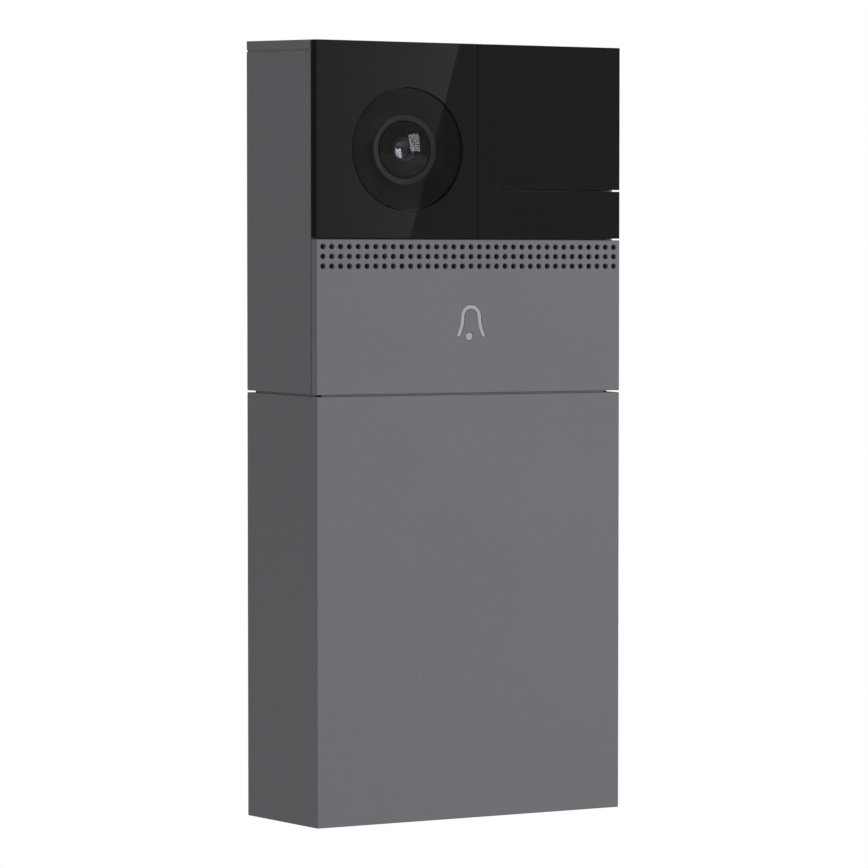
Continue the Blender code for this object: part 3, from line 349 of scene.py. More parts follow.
class Mix:
    """A material under construction: its Principled shader and the object's own coordinates."""

    def __init__(self, name):
        self.material = bpy.data.materials.new(name)
        self.material.use_nodes = True
        self.tree = self.material.node_tree
        self.shader = self.tree.nodes["Principled BSDF"]
        self.where = self.tree.nodes.new("ShaderNodeTexCoord").outputs["Object"]

    def node(self, kind, output, links=None, **values):
        """Adds a node, sets its inputs and settings by name, and gives back one of its outputs."""
        node = self.tree.nodes.new(kind)
        for name, value in values.items():
            if name in node.inputs:
                node.inputs[name].default_value = value
            else:
                setattr(node, name, value)
        for name, socket in (links or {}).items():
            self.tree.links.new(socket, node.inputs[name])
        return node.outputs[output]

    def cloud(self, size, detail=2.0, stretch=None):
        """Soft random blotches about size across, from 0 to 1; stretch draws them out along an axis."""
        where = self.where
        if stretch:
            where = self.node("ShaderNodeMapping", "Vector", {"Vector": where}, Scale=stretch)
        links = {"Vector": where}
        return self.node("ShaderNodeTexNoise", "Fac", links, Scale=1.0 / size, Detail=detail)

    def ranged(self, value, start, end):
        """Stretches a cloud's middle so that it runs from start to end."""
        limits = {"From Min": THIN, "From Max": DENSE, "To Min": start, "To Max": end}
        return self.node("ShaderNodeMapRange", "Result", {"Value": value}, **limits)

    def blend(self, value, dark, light):
        """A colour that runs from dark to light with value."""
        node = self.tree.nodes.new("ShaderNodeMix")
        node.data_type = "RGBA"
        node.inputs[6].default_value = (*dark, 1.0)
        node.inputs[7].default_value = (*light, 1.0)
        self.tree.links.new(value, node.inputs[0])
        return node.outputs[2]

    def relief(self, value, height):
        """A surface normal that stands value times height proud."""
        return self.node("ShaderNodeBump", "Normal", {"Height": value}, Distance=height, Strength=1.0)

    def set(self, **values):
        for name, value in values.items():
            self.shader.inputs[name.replace("_", " ")].default_value = value

    def link(self, **sockets):
        for name, socket in sockets.items():
            self.tree.links.new(socket, self.shader.inputs[name.replace("_", " ")])


def moulded(slot, dark, light, roughness, grain, height, name=None, **settings):
    """Moulded plastic, rubber or paper: a fine grain in colour and relief over a wide faint blotch."""
    mix = Mix(name or slot)
    fine = mix.cloud(grain, 3.0)
    wide = mix.cloud(BLOTCH)
    both = mix.node("ShaderNodeMath", "Value", {0: wide, 2: fine}, operation="MULTIPLY_ADD")
    both.node.inputs[1].default_value = BLOTCH_SHARE
    limits = {"From Min": THIN * (1 + BLOTCH_SHARE), "From Max": DENSE * (1 + BLOTCH_SHARE)}
    share = mix.node("ShaderNodeMapRange", "Result", {"Value": both}, **limits)
    mix.link(Base_Color=mix.blend(share, dark, light))
    mix.link(Roughness=mix.ranged(wide, *roughness))
    mix.link(Normal=mix.relief(fine, height))
    mix.set(**settings)
    return slot, mix.material


def gloss_black():
    """Polished black acrylic: a very faint ripple and a little haze where it has been wiped."""
    mix = Mix("gloss_black")
    mix.link(Base_Color=mix.blend(mix.cloud(0.018), (0.0044, 0.0044, 0.0046), (0.0056, 0.0056, 0.0058)))
    mix.link(Roughness=mix.ranged(mix.cloud(0.006, 3.0), 0.0, 0.012))
    mix.link(Normal=mix.relief(mix.cloud(0.006, 1.0), 0.0000002))
    mix.set(IOR=1.5)
    return "gloss_black", mix.material


def metal(slot, dark, light, roughness):
    """Metal with drawn marks along x and blurred stains."""
    mix = Mix(slot)
    marks = mix.cloud(0.0004, 2.0, stretch=(0.08, 1.0, 1.0))
    mix.link(Base_Color=mix.blend(mix.cloud(0.003), dark, light))
    mix.link(Roughness=mix.ranged(marks, *roughness))
    mix.link(Normal=mix.relief(marks, 0.000004))
    mix.set(Metallic=1.0)
    return slot, mix.material


def clear(name, tint, index):
    """Clear glass: light passes straight through, less what its outer face throws back at a slant."""
    mix = Mix(name)
    tree = mix.tree
    tree.nodes.remove(mix.shader)
    smear = mix.cloud(0.002, 3.0)
    passing = mix.blend(mix.ranged(mix.cloud(0.004), 0.0, 1.0), [0.90 * t for t in tint], tint)
    through = mix.node("ShaderNodeBsdfTransparent", "BSDF", {"Color": passing})
    mirror = mix.node("ShaderNodeBsdfGlossy", "BSDF", {"Roughness": mix.ranged(smear, 0.0, 0.008)})
    slant = mix.node("ShaderNodeFresnel", "Fac", IOR=index)
    inner = mix.node("ShaderNodeNewGeometry", "Backfacing")
    slant = mix.node("ShaderNodeMath", "Value", {0: slant, 1: inner}, operation="SUBTRACT", use_clamp=True)
    both = mix.node("ShaderNodeMixShader", "Shader", {0: slant, 1: through, 2: mirror})
    tree.links.new(both, tree.nodes["Material Output"].inputs["Surface"])
    return "lens_glass", mix.material


def circuit_board():
    """Green solder mask over a faint grid of copper tracks, on the boards' faces."""
    mix = Mix("board_green")
    upright_turn = (math.pi / 2, 0.0, 0.0)
    facing = mix.node("ShaderNodeMapping", "Vector", {"Vector": mix.where}, Rotation=upright_turn)
    tracks = mix.node("ShaderNodeTexBrick", "Fac", {"Vector": facing}, Scale=160.0)
    mix.link(Base_Color=mix.blend(tracks, (0.010, 0.060, 0.022), (0.022, 0.110, 0.040)))
    mix.link(Roughness=mix.ranged(mix.cloud(0.002), 0.25, 0.40))
    mix.link(Normal=mix.relief(tracks, 0.00002))
    return "board_green", mix.material


CASE = moulded(
    "case_grey", (0.190, 0.194, 0.211), (0.221, 0.226, 0.244), (0.50, 0.60), 0.00028, 0.000012
)
GLOSS = gloss_black()
BLACK = moulded("moulded_black", (0.016, 0.016, 0.017), (0.026, 0.026, 0.027), (0.45, 0.60), 0.0004, 0.00001)
BEZEL = moulded(
    "moulded_black", (0.0010, 0.0010, 0.0012), (0.0020, 0.0020, 0.0022), (0.004, 0.012), 0.0008, 0.0000001,
    name="bezel_black", IOR=1.30,
)
STEP = moulded(
    "moulded_black", (0.0060, 0.0060, 0.0062), (0.0090, 0.0090, 0.0092), (0.36, 0.44), 0.0005, 0.000001,
    name="step_black", IOR=1.30,
)
BARREL = moulded(
    "moulded_black", (0.0014, 0.0014, 0.0015), (0.0022, 0.0022, 0.0023), (0.60, 0.70), 0.0005, 0.000001,
    name="barrel_black", IOR=1.12,
)
RETAINER = moulded(
    "moulded_black", (0.034, 0.033, 0.032), (0.044, 0.042, 0.041), (0.30, 0.38), 0.0005, 0.000001,
    name="retainer_grey", IOR=1.20,
)
COVER_GLASS = clear("cover_glass", (0.99, 0.99, 0.99), 1.36)
DOME_GLASS = clear("dome_glass", (0.93, 0.96, 0.99), 1.38)
EYE_GLASS = clear("eye_glass", (0.90, 0.86, 0.84), 2.1)
EYE_BED = moulded(
    "moulded_black", (0.040, 0.034, 0.030), (0.060, 0.050, 0.044), (0.30, 0.38), 0.0005, 0.000001,
    name="eye_bed_brown",
)
SIGN = moulded("sign_grey", (0.50, 0.50, 0.51), (0.56, 0.56, 0.57), (0.38, 0.48), 0.0003, 0.000004)
STEEL = metal("steel", (0.50, 0.50, 0.51), (0.64, 0.64, 0.66), (0.22, 0.38))
GOLD = metal("contact_gold", (0.72, 0.50, 0.20), (0.86, 0.64, 0.30), (0.18, 0.30))
BOARD = circuit_board()
RUBBER = moulded("soft_rubber", (0.020, 0.020, 0.021), (0.030, 0.030, 0.032), (0.72, 0.86), 0.0003, 0.00002)
MILK = moulded("milk_plastic", (0.66, 0.66, 0.64), (0.74, 0.74, 0.72), (0.40, 0.52), 0.0006, 0.000004)
WRAP = moulded("battery_wrap", (0.030, 0.045, 0.085), (0.040, 0.058, 0.105), (0.24, 0.36), 0.004, 0.00004)
LABEL = moulded(
    "speaker_paper", (0.50, 0.49, 0.46), (0.58, 0.57, 0.54), (0.60, 0.72), 0.0003, 0.000004,
    name="label_paper",
)
PAPER = moulded("speaker_paper", (0.016, 0.015, 0.015), (0.034, 0.032, 0.030), (0.80, 0.92), 0.0006, 0.00003)

# ---- Case mouldings ------------------------------------------------------------------------------

MOULDINGS = (  # finish, rounding of its edges, nodes
    (CASE, 0.00012, ("upper_housing", "top_cap", "lower_cover", "rear_cover")),
    (GLOSS, 0.00006, ("camera_window", "motion_cover", "sensor_strip")),
    (BLACK, 0.0003, ("wall_bracket",)),
    (BLACK, 0.0002, ("chassis", "terminal_block")),
    (RUBBER, 0.00015, ("charging_flap",)),
    (BLACK, 0.0002, ("lens_holder", "button_switch", "motion_sensor_stand", "processor", "light_sensor")),
    (BOARD, 0.00008, ("camera_board", "infrared_board", "sensor_board")),
    (BOARD, 0.00008, ("button_board", "main_board", "charging_board")),
    (STEEL, 0.0001, ("radio_shield", "charging_socket", "security_screw")),
    (GOLD, 0.0001, ("antenna", "battery_contacts", "microphone")),
    (MILK, 0.0001, ("camera_connector", "status_lamp", "motion_lens")),
    (BEZEL, 0.00005, ("image_sensor",)),
)
SEAM = 0.00034  # open line between the head and the lower cover
PANEL_SEAM = 0.0003  # between the camera window and the panels beside it
RECESS = 0.00014  # of the strips that fill the seams, behind the surface
OVERLAP = 0.00003
STRIP_EDGE = 0.00002
STRIP_DEPTH = 0.0008
OPEN_RIGHT = 0.0030  # left open at the long seam's ends, where light passes through the corners
OPEN_REAR = 0.0038


def top_strip():
    """Fills the line under the top cap, just behind the surface all round."""
    top, foot = low("top_cap")[2], high("upper_housing")[2] / (1 + DRAFT / HALF_HEIGHT)
    points, faces = soft_box(
        (-HALF_WIDTH + RECESS, low("top_cap")[1] + RECESS, foot - OVERLAP),
        (HALF_WIDTH - RECESS, REAR_Y - RECESS, top + OVERLAP),
        STRIP_EDGE,
    )
    made("top_cap_gasket", (drafted(points), faces), CASE, "main")


def long_strip():
    """Fills the long seam along the front and the left side, clear of the cover and of the button plate."""
    left, front = -HALF_WIDTH + 2 * RECESS, FRONT_Y + 3 * RECESS
    top = low("button_plate")[2] - OVERLAP
    foot = top - SEAM + 2 * OVERLAP
    points, faces = joined(
        soft_box((left, front, foot), (HALF_WIDTH - OPEN_RIGHT, front + STRIP_DEPTH, top), STRIP_EDGE),
        soft_box((left, front, foot), (left + STRIP_DEPTH, REAR_Y - OPEN_REAR, top), STRIP_EDGE),
    )
    made("seam_gasket", (drafted(points), faces), CASE, "main")


def panel_strip():
    """Fills the upright line beside the camera window."""
    left, foot, top = high("camera_window")[0], low("camera_window")[2], high("camera_window")[2]
    shape = soft_box(
        (left, FRONT_Y + RECESS, foot + RECESS),
        (left + PANEL_SEAM, FRONT_Y + 0.0006, top - 4 * RECESS),
        STRIP_EDGE,
    )
    made("panel_gasket", shape, GLOSS, "main")


# ---- Camera --------------------------------------------------------------------------------------

RIM = 0.00003  # bevel of the cover glass and of the bezel
COVER_REACH = 0.7 * GAP  # by which the cover glass narrows the gap round it
DISH_RADIUS = 0.0078
DISH_DEPTH = 0.0008
STEP_RADIUS = 0.0062
DISH_BEND = 0.15  # how far the dish's slope sags between its edges, of its depth
DISH_CREASE = 9.0  # degrees at an edge that still shades sharp
STEP_WALL = 0.0003
STEP_CORNER = 0.0001
DOME_RISE = 0.0009
DOME_WALL = 0.00035
BOWL_RADIUS = 0.007  # of the inner lens's hollow face
INNER_SPACE = 0.0001  # between the dome and what lies behind it
GROOVES = 5
GROOVE_HIGH, GROOVE_LOW = 0.00006, 0.00016  # a groove's crest and foot, behind the barrel's face
BED_FACE = 0.00115
BED_BACK = 0.0012
EYE_BACK = 0.0011
DISC_STEPS = 128
LENS_STEPS = 96


def lens_front():
    """The flat cover glass, the dished bezel behind it and the matt ring at the dish's foot."""
    radius = half("lens_cover")[0]
    front, back = low("lens_cover")[1], high("lens_cover")[1]
    wide = radius + COVER_REACH
    pane = [(0.0, front), (wide - RIM, front), (wide, front + RIM), (wide, back), (0.0, back)]
    made("lens_cover_glass", turned(pane, LENS, DISC_STEPS), COVER_GLASS, "main", ("lens_cover",))

    face, seat = low("lens_bezel")[1], high("lens_bezel")[1]
    floor = face + DISH_DEPTH
    bore = half("lens_dome")[0] + GAP
    share = np.linspace(0.0, 1.0, 7)[1:-1]
    slope = np.stack([
        DISH_RADIUS + (STEP_RADIUS - DISH_RADIUS) * share,
        face + DISH_DEPTH * share * (1.0 - DISH_BEND + DISH_BEND * share),
    ], axis=-1)
    bezel = [
        (radius, seat), (radius, face + RIM), (radius - RIM, face), (DISH_RADIUS, face), *slope,
        (STEP_RADIUS, floor), (STEP_RADIUS, floor + STEP_WALL), (bore, floor + STEP_WALL), (bore, seat),
        (radius, seat),
    ]
    shape = turned(bezel, LENS, DISC_STEPS)
    made("lens_bezel_ring", shape, BEZEL, "main", ("lens_bezel",), sharp=DISH_CREASE)
    outer, inner = STEP_RADIUS - 0.00002, bore + STEP_CORNER
    step = [
        (inner, floor + STEP_WALL), (inner, floor + STEP_CORNER), (inner + STEP_CORNER, floor),
        (outer - 0.00012, floor - 0.00002), (outer, floor + 0.00006), (outer, floor + STEP_WALL),
    ]
    made("lens_step_ring", turned(step + step[:1], LENS, DISC_STEPS), STEP, "main")


def lens_dome():
    """The domed glass: two spherical caps a wall apart, joined at the rim."""
    radius = half("lens_dome")[0]
    apex, rear = low("lens_dome")[1], high("lens_dome")[1]
    inner = radius - DOME_WALL
    dome = cap(radius, DOME_RISE, apex, 20) + [(radius, rear), (inner, rear)]
    dome += cap(inner, DOME_RISE - DOME_WALL / 2, apex + DOME_WALL, 16)[::-1]
    made("lens_dome_glass", turned(dome, LENS, LENS_STEPS), DOME_GLASS, "main", ("lens_dome",))


def lens_inside():
    """The grooved barrel, and in its middle a ring, a brown bed and the hollow-faced inner lens."""
    mouth, end = low("lens_barrel")[1], high("lens_barrel")[1]
    outer = half("lens_barrel")[0]
    eye_radius = half("inner_lens")[0]
    seat = low("lens_dome")[1] + DOME_RISE + INNER_SPACE  # the face that the inner lens shows in
    nose = half("lens_dome")[0] - DOME_WALL - INNER_SPACE
    foot, hollow_end = seat + 0.0003, seat + BED_BACK
    groove = np.linspace(nose - 0.0002, eye_radius + 0.0008, GROOVES + 1)
    rings = []
    for wide, narrow in zip(groove[:-1], groove[1:]):
        rings.append((wide, seat + GROOVE_LOW))
        rings.append((wide - 0.00008, seat + GROOVE_HIGH))
        rings.append((narrow + 0.00004, seat + GROOVE_LOW))
    barrel = [(0.0, end), (outer, end), (outer, mouth), (nose, mouth), (nose, seat + 0.0004), *rings]
    barrel += [(eye_radius, foot), (eye_radius, hollow_end), (0.0, hollow_end)]
    made("lens_barrel_stepped", turned(barrel, LENS, LENS_STEPS), BARREL, "main", ("lens_barrel",))

    ring_in, ring_out, brow = eye_radius + 0.00010, eye_radius + 0.00028, seat + 0.00006
    bead = arc(((ring_in + ring_out) / 2, brow), (ring_out - ring_in) / 2, 180, 360, 6)
    ring = [(ring_in, foot), (ring_in, brow), *bead, (ring_out, foot), (ring_in, foot)]
    made("lens_retainer", turned(ring, LENS, LENS_STEPS), RETAINER, "main")
    bed_radius, bed_face = eye_radius - 0.0004, seat + BED_FACE
    bed = [(0.0, bed_face), (bed_radius, bed_face), (bed_radius, hollow_end), (0.0, hollow_end)]
    made("lens_bed", turned(bed, LENS, 48), EYE_BED, "main")

    bowl, rim, back = eye_radius - 0.0002, eye_radius - 0.00005, seat + EYE_BACK
    depth = BOWL_RADIUS - math.sqrt(BOWL_RADIUS**2 - bowl**2)
    hollow = cap(bowl, -depth, seat + INNER_SPACE + depth, 12)
    eye = hollow + [(rim, seat + 0.00012), (rim, back), (0.0, back)]
    made("inner_lens_glass", turned(eye, LENS, 64), EYE_GLASS, "main", ("inner_lens",))


LAMP_BODY = 0.86  # of a lamp's flange
LAMP_DOME = 0.9  # rise of its dome, of its body's radius
LAMP_FLANGE = 0.0007
CAN_BODY = 0.90  # of the can's foot
CAN_CORNER = 0.0003
CAN_FOOT = 0.0004
SLOPE_STEP = 0.0001  # by which a lamp's flange slopes up to its body
CAN_SLOPE = 0.0002


def night_lamps():
    """Two clear lamps: a domed tube on a flanged foot."""
    for side in ("left", "right"):
        node = f"infrared_lamp_{side}"
        centre, radius = middle(node), half(node)[0]
        front, back = low(node)[1], high(node)[1]
        body, flange = radius * LAMP_BODY, back - LAMP_FLANGE
        lamp = cap(body, body * LAMP_DOME, front, 9) + [(body, flange - SLOPE_STEP), (radius, flange)]
        lamp += [(radius, back), (0.0, back)]
        made(f"infrared_lamp_{side}_glass", turned(lamp, centre, 32), DOME_GLASS, "main", (node,))


def motion_sensor():
    """A metal can with a rounded front edge and a flanged foot."""
    centre, radius = middle("motion_sensor"), half("motion_sensor")[0]
    front, back = low("motion_sensor")[1], high("motion_sensor")[1]
    body, foot = radius * CAN_BODY, back - CAN_FOOT
    can = [(0.0, front), (body - CAN_CORNER, front)]
    can += arc((body - CAN_CORNER, front + CAN_CORNER), CAN_CORNER, -90, 0, 5)
    can += [(body, foot - CAN_SLOPE), (radius, foot), (radius, back), (0.0, back)]
    made("motion_sensor_can", turned(can, centre, 48), STEEL, "main", ("motion_sensor",))


# ---- Bell button ---------------------------------------------------------------------------------

HOLE_RADIUS = 0.000475
HOLE_PITCH = 0.0017
HOLE_ROWS = 3
HOLE_COLUMNS = 35
HOLE_TOP_Z = 0.03276
STROKE = 0.00072
SIGN_CLEARANCE = 0.00005
ARCH_RADIUS = 0.00164
LEG_HEIGHT = 0.00334
LEG_FLARE = 0.00082
PLATE_EDGE = 0.00007
PLATE_CORNER = 0.0001
WAIST = 0.7  # of the plunger's radius
PLUNGER_CORNER = 0.0003


def bell_stroke(width):
    """The bell's outline: a half round on two legs that flare as a parabola, as wide as width all along.

    The stroke's sides are its middle line moved to each side by half the width, and its ends are half rounds.
    """
    top = high("bell_arch")[2] - STROKE / 2
    centre = top - ARCH_RADIUS
    fall = np.linspace(1.0, 0.0, 10)[:-1]
    leg = np.stack([ARCH_RADIUS + LEG_FLARE * fall**2, centre - LEG_HEIGHT * fall], axis=-1)
    angle = np.linspace(0.0, math.pi, 25)
    crown = np.stack([ARCH_RADIUS * np.cos(angle), centre + ARCH_RADIUS * np.sin(angle)], axis=-1)
    line = np.concatenate([leg, crown, leg[::-1] * (-1, 1)])
    along = np.gradient(line, axis=0)
    along /= np.linalg.norm(along, axis=1, keepdims=True)
    side = np.stack([along[:, 1], -along[:, 0]], axis=-1) * width / 2
    sweep = np.linspace(0.0, math.pi, 9)[1:-1, None]
    far_end = line[-1] + side[-1] * np.cos(sweep) + along[-1] * np.sin(sweep) * width / 2
    near_end = line[0] - side[0] * np.cos(sweep) - along[0] * np.sin(sweep) * width / 2
    return np.concatenate([line + side, far_end, (line - side)[::-1], near_end])


def bell_button():
    """The button plate with its rows of sound holes, and the bell sign set flush into it."""
    bottom, top = low("button_plate")[2], high("button_plate")[2]
    back = high("button_plate")[1]
    share = DRAFT * (back - FRONT_Y) / (REAR_Y - FRONT_Y) / HALF_HEIGHT
    top /= 1 + share  # where the top edge lies at the front, before the draft
    across, down = np.meshgrid(np.arange(HOLE_COLUMNS) - (HOLE_COLUMNS - 1) / 2, np.arange(HOLE_ROWS))
    places = np.stack([across.ravel() * HOLE_PITCH, HOLE_TOP_Z - down.ravel() * HOLE_PITCH], axis=-1)
    holes = [circle(place, HOLE_RADIUS, 16, TURN / 32) for place in places]
    edge = PLATE_EDGE
    outer = rounded_box((0.0, (bottom + top) / 2), (HALF_WIDTH, (top - bottom) / 2), PLATE_CORNER, 3)
    profile = [(edge, FRONT_Y), (0.0, FRONT_Y + edge), (0.0, back)]
    dot = middle("bell_dot")
    dot_radius = half("bell_dot")[0]
    depth = high("bell_arch")[1]
    signs = [
        bell_stroke(STROKE + 2 * SIGN_CLEARANCE),
        circle((dot[0], dot[2]), dot_radius + SIGN_CLEARANCE, 32),
    ]
    recess = [(edge / 2, FRONT_Y), (0.0, FRONT_Y + edge / 2), (0.0, depth + GAP)]
    points, faces = plate(outer, holes, profile, signs, recess)
    made("button_plate_pierced", (drafted(points), faces), CASE, "button", ("button_plate",))

    inlay = [(edge, FRONT_Y), (0.0, FRONT_Y + edge), (0.0, depth)]
    made("bell_arch_inlay", plate(bell_stroke(STROKE), [], inlay), SIGN, "button", ("bell_arch",))
    disc = circle((dot[0], dot[2]), dot_radius, 40)
    made("bell_dot_inlay", plate(disc, [], inlay), SIGN, "button", ("bell_dot",))


def button_plunger():
    """A soft foot behind the plate: a wide rounded front on a narrow waist."""
    centre, radius = middle("button_plunger"), half("button_plunger")[0]
    front, rear = low("button_plunger")[1], high("button_plunger")[1]
    waist, corner = radius * WAIST, PLUNGER_CORNER
    stem = [(0.0, front), *arc((radius - corner, front + corner), corner, -90, 0, 5)]
    stem += [(radius, front + 0.0009), (waist, front + 0.0014)]
    stem += [(waist, rear - 0.0004), (waist - corner, rear), (0.0, rear)]
    made("button_plunger_rubber", turned(stem, centre, 40), RUBBER, "plunger", ("button_plunger",))


# ---- Screws --------------------------------------------------------------------------------------

SCREW_STEPS = 64
HEAD_THICK = 0.0010
SHAFT_RADIUS = 0.0010
THREAD_PITCH = 0.0005
THREAD_DEPTH = 0.16  # of the shaft's radius
THREAD_CREASE = 28.0  # degrees at an edge that still shades sharp
RINGS_A_TURN = 6
TIP = 0.0004
CROSS_DEPTH = 0.0006
CROSS_REACH = 0.66  # of the head's radius
CROSS_HALF = 0.13  # half an arm's width, of the head's radius


def screw_shape(centre, face, end, head, drive):
    """A screw along y: its head's face, at face, looks back, and its tip is at end. drive cuts the recess.

    The shaft's thread is a helix: its radius follows the fraction of a turn past each ring, as a ridge.
    """
    neck = face - HEAD_THICK
    top = [(radius, face) for radius in np.linspace(0.0, head - 0.0002, 22)]
    top += [(head - 0.00005, face - 0.00008), (head, face - 0.00025), (head, neck), (SHAFT_RADIUS, neck)]
    disc = turned(top, centre, SCREW_STEPS, drive)
    rings = int(abs(end - face + HEAD_THICK) / THREAD_PITCH * RINGS_A_TURN)
    y = np.linspace(neck, end + TIP, rings)[:, None]
    angle = TURN * np.arange(SCREW_STEPS) / SCREW_STEPS
    lead = (y / THREAD_PITCH - angle / TURN) % 1.0
    ridge = SHAFT_RADIUS * (1.0 - THREAD_DEPTH * np.abs(2 * lead - 1.0))
    body = np.stack([
        centre[0] + ridge * np.cos(angle), np.broadcast_to(y, ridge.shape), centre[2] + ridge * np.sin(angle)
    ], axis=-1)
    point = [(SHAFT_RADIUS * (1.0 - THREAD_DEPTH), end + TIP), (SHAFT_RADIUS * 0.5, end), (0.0, end)]
    return joined(disc, grid(body), turned(point, centre, SCREW_STEPS))


def crossed(head):
    """A cross-shaped recess: CROSS_DEPTH where a point lies within half an arm's width of either arm."""
    reach, width = head * CROSS_REACH, head * CROSS_HALF

    def wave(radius, angle):
        x, z = np.abs(radius * np.cos(angle)), np.abs(radius * np.sin(angle))
        wall = np.clip((width - np.minimum(x, z)) / 0.00012 + 0.5, 0.0, 1.0)
        end = np.clip((reach - radius) / 0.0004, 0.0, 1.0)
        return -CROSS_DEPTH * wall * end
    return wave


def screws():
    """The case's and the terminals' screws. The security screw is a moulding, with its own recess."""
    for node in [n for n in frame["nodes"] if n.startswith(("case_screw", "terminal_screw"))]:
        head = half(node)[0]
        shape = screw_shape(middle(node), high(node)[1], low(node)[1], head, crossed(head))
        made(f"{node}_threaded", shape, STEEL, "main", (node,), sharp=THREAD_CREASE)


# ---- Sound ---------------------------------------------------------------------------------------

BASKET_WALL = 0.0012
NECK_RADIUS = 0.0050
DUST_RADIUS = 0.0028
ROLL = 0.0016  # across the cone's rolled edge
CONE_THICK = 0.00018


def speaker_basket():
    """A deep dished frame, open in the middle of its back."""
    radius = half("speaker_basket")[0]
    front, back = low("speaker_basket")[1], high("speaker_basket")[1]
    inner = radius - BASKET_WALL
    basket = [
        (radius - 0.0001, front), (radius, front + 0.0001), (radius, front + 0.0012),
        (radius - 0.0006, front + 0.0018), (radius - 0.0009, back - 0.0012), (0.0072, back),
        (NECK_RADIUS, back), (NECK_RADIUS, back - BASKET_WALL), (inner - 0.0006, back - 0.0026),
        (inner, front + 0.0010), (inner, front + 0.0001), (inner + 0.0001, front), (radius - 0.0001, front),
    ]
    shape = turned(basket, middle("speaker_basket"), 96)
    made("speaker_basket_ribbed", shape, BLACK, "main", ("speaker_basket",))


def speaker_cone():
    """A dust cap, a straight paper slope and a rolled edge, all of one thickness."""
    rim = half("speaker_cone")[0]
    near, far = low("speaker_cone")[1], high("speaker_cone")[1]
    face = cap(DUST_RADIUS, 0.0008, near + 0.0009, 8)
    brow = near + 0.0004
    drop = far - CONE_THICK - brow
    slope = [
        (DUST_RADIUS + (rim - ROLL - DUST_RADIUS) * share, far - CONE_THICK - drop * share)
        for share in (0.0, 0.35, 0.7, 1.0)
    ]
    line = face + slope + arc((rim - ROLL / 2, brow), ROLL / 4, 180, 360, 9)
    surface = line + [(r, y + CONE_THICK) for r, y in line[::-1]]
    shape = turned(surface, middle("speaker_basket"), 96)
    made("speaker_cone_paper", shape, PAPER, "main", ("speaker_cone",))


def speaker_magnet():
    """A bevelled disc with a narrower plate behind it."""
    radius, bevel = half("speaker_magnet")[0], 0.0003
    near, far = low("speaker_magnet")[1], high("speaker_magnet")[1]
    plate_radius = radius - 0.0004
    disc = [(0.0, near), (radius - bevel, near), (radius, near + bevel), (radius, far - 0.0012)]
    disc += [(plate_radius, far - 0.0011), (plate_radius, far - bevel), (plate_radius - bevel, far)]
    disc.append((0.0, far))
    shape = turned(disc, middle("speaker_magnet"), 72)
    made("speaker_magnet_disc", shape, STEEL, "main", ("speaker_magnet",))


# ---- Battery -------------------------------------------------------------------------------------

PACK_CORNER = 0.0025
CURL = 0.0005  # of the wrap's ends, onto the pack's ends
CURL_STEP = 0.00015
LABEL_WIDE = 0.68  # of the pack's width
LABEL_TALL = 0.60  # of its height
LABEL_CORNER = 0.0015
LABEL_FACE = 0.00008  # in front of the pack
LABEL_BACK = 0.00001


def battery():
    """A wrapped pack: a rounded section carried down its length, with the wrap's ends curled over."""
    centre, size = middle("battery_pack"), half("battery_pack")
    front, tall = low("battery_pack")[1], size[2]
    outline = rounded_box((0.0, 0.0), (size[0], size[1]), PACK_CORNER, 9)
    fold, rise = CURL + CURL_STEP, 0.3 * CURL
    profile = [
        (fold, -tall + CURL_STEP), (fold, -tall), (CURL, -tall), (rise, -tall + rise), (0.0, -tall + CURL),
        (0.0, tall - CURL), (rise, tall - rise), (CURL, tall), (fold, tall), (fold, tall - CURL_STEP),
    ]
    points, faces = plate(outline, [], profile)
    x, y, z = points.T
    points = np.stack([x, -z, y], axis=-1) + centre
    made("battery_pack_wrapped", (points, faces), WRAP, "main", ("battery_pack",))
    sticker = rounded_box(centre[[0, 2]], (size[0] * LABEL_WIDE, tall * LABEL_TALL), LABEL_CORNER, 6)
    shape = plate(sticker, [], [(0.0, front - LABEL_FACE), (0.0, front - LABEL_BACK)])
    made("battery_sticker", shape, LABEL, "main")


def reset_pin():
    """A short pin with a rounded tip, facing down."""
    centre, corner = middle("reset_button"), 0.0002
    radius, tall = half("reset_button")[0], half("reset_button")[2]
    tip = arc((radius - corner, -tall + corner), corner, -90, 0, 4)
    pin = [(0.0, -tall), *tip, (radius, tall), (0.0, tall)]
    shape = upright(turned([(r, y + centre[1]) for r, y in pin], centre, 32), centre)
    made("reset_button_pin", shape, MILK, "reset", ("reset_button",))


# ---- The object ----------------------------------------------------------------------------------

for mould_finish, rounding, mouldings in MOULDINGS:
    for mould in mouldings:
        softened(mould, mould_finish, rounding)
top_strip()
long_strip()
panel_strip()
lens_front()
lens_dome()
lens_inside()
night_lamps()
motion_sensor()
bell_button()
button_plunger()
screws()
speaker_basket()
speaker_cone()
speaker_magnet()
battery()
reset_pin()


# ---- Studio --------------------------------------------------------------------------------------

CAMERA_PLACE = Vector((-0.3139, -0.6309, 0.0294))
CAMERA_YAW = math.radians(26.94)
CAMERA_DIP = math.radians(2.5)
LINE_TOP = Vector((-0.002144, FRONT_Y, 0.068351))  # where a bright card's edge shows in the front glass
LINE_FOOT = Vector((-0.011888, FRONT_Y, 0.034251))
ROOM = 0.07  # the room's light where nothing brighter stands
WALLS = 0.40  # and at its pale walls and ceiling
WALL_EDGES = (0.30, 0.85)  # cosines to a wall's middle, where it starts and where it is full
LEFT_WALL = Vector((-0.88, -0.38, 0.28)).normalized()
REAR_WALL = Vector((0.55, 0.78, 0.30)).normalized()
CEILING_EDGES = (0.5, 0.9)
UP = Vector((0.0, 0.0, 1.0))
PATCH = 0.27  # the pale patch that the front faces, as the camera sees it
PATCH_EDGES = (math.cos(0.38), math.cos(0.15))
CORNER = Vector((-0.45, 0.89, 0.0))  # a dim corner that the left side faces at a slant
CORNER_EDGES = (math.cos(0.40), math.cos(0.20))
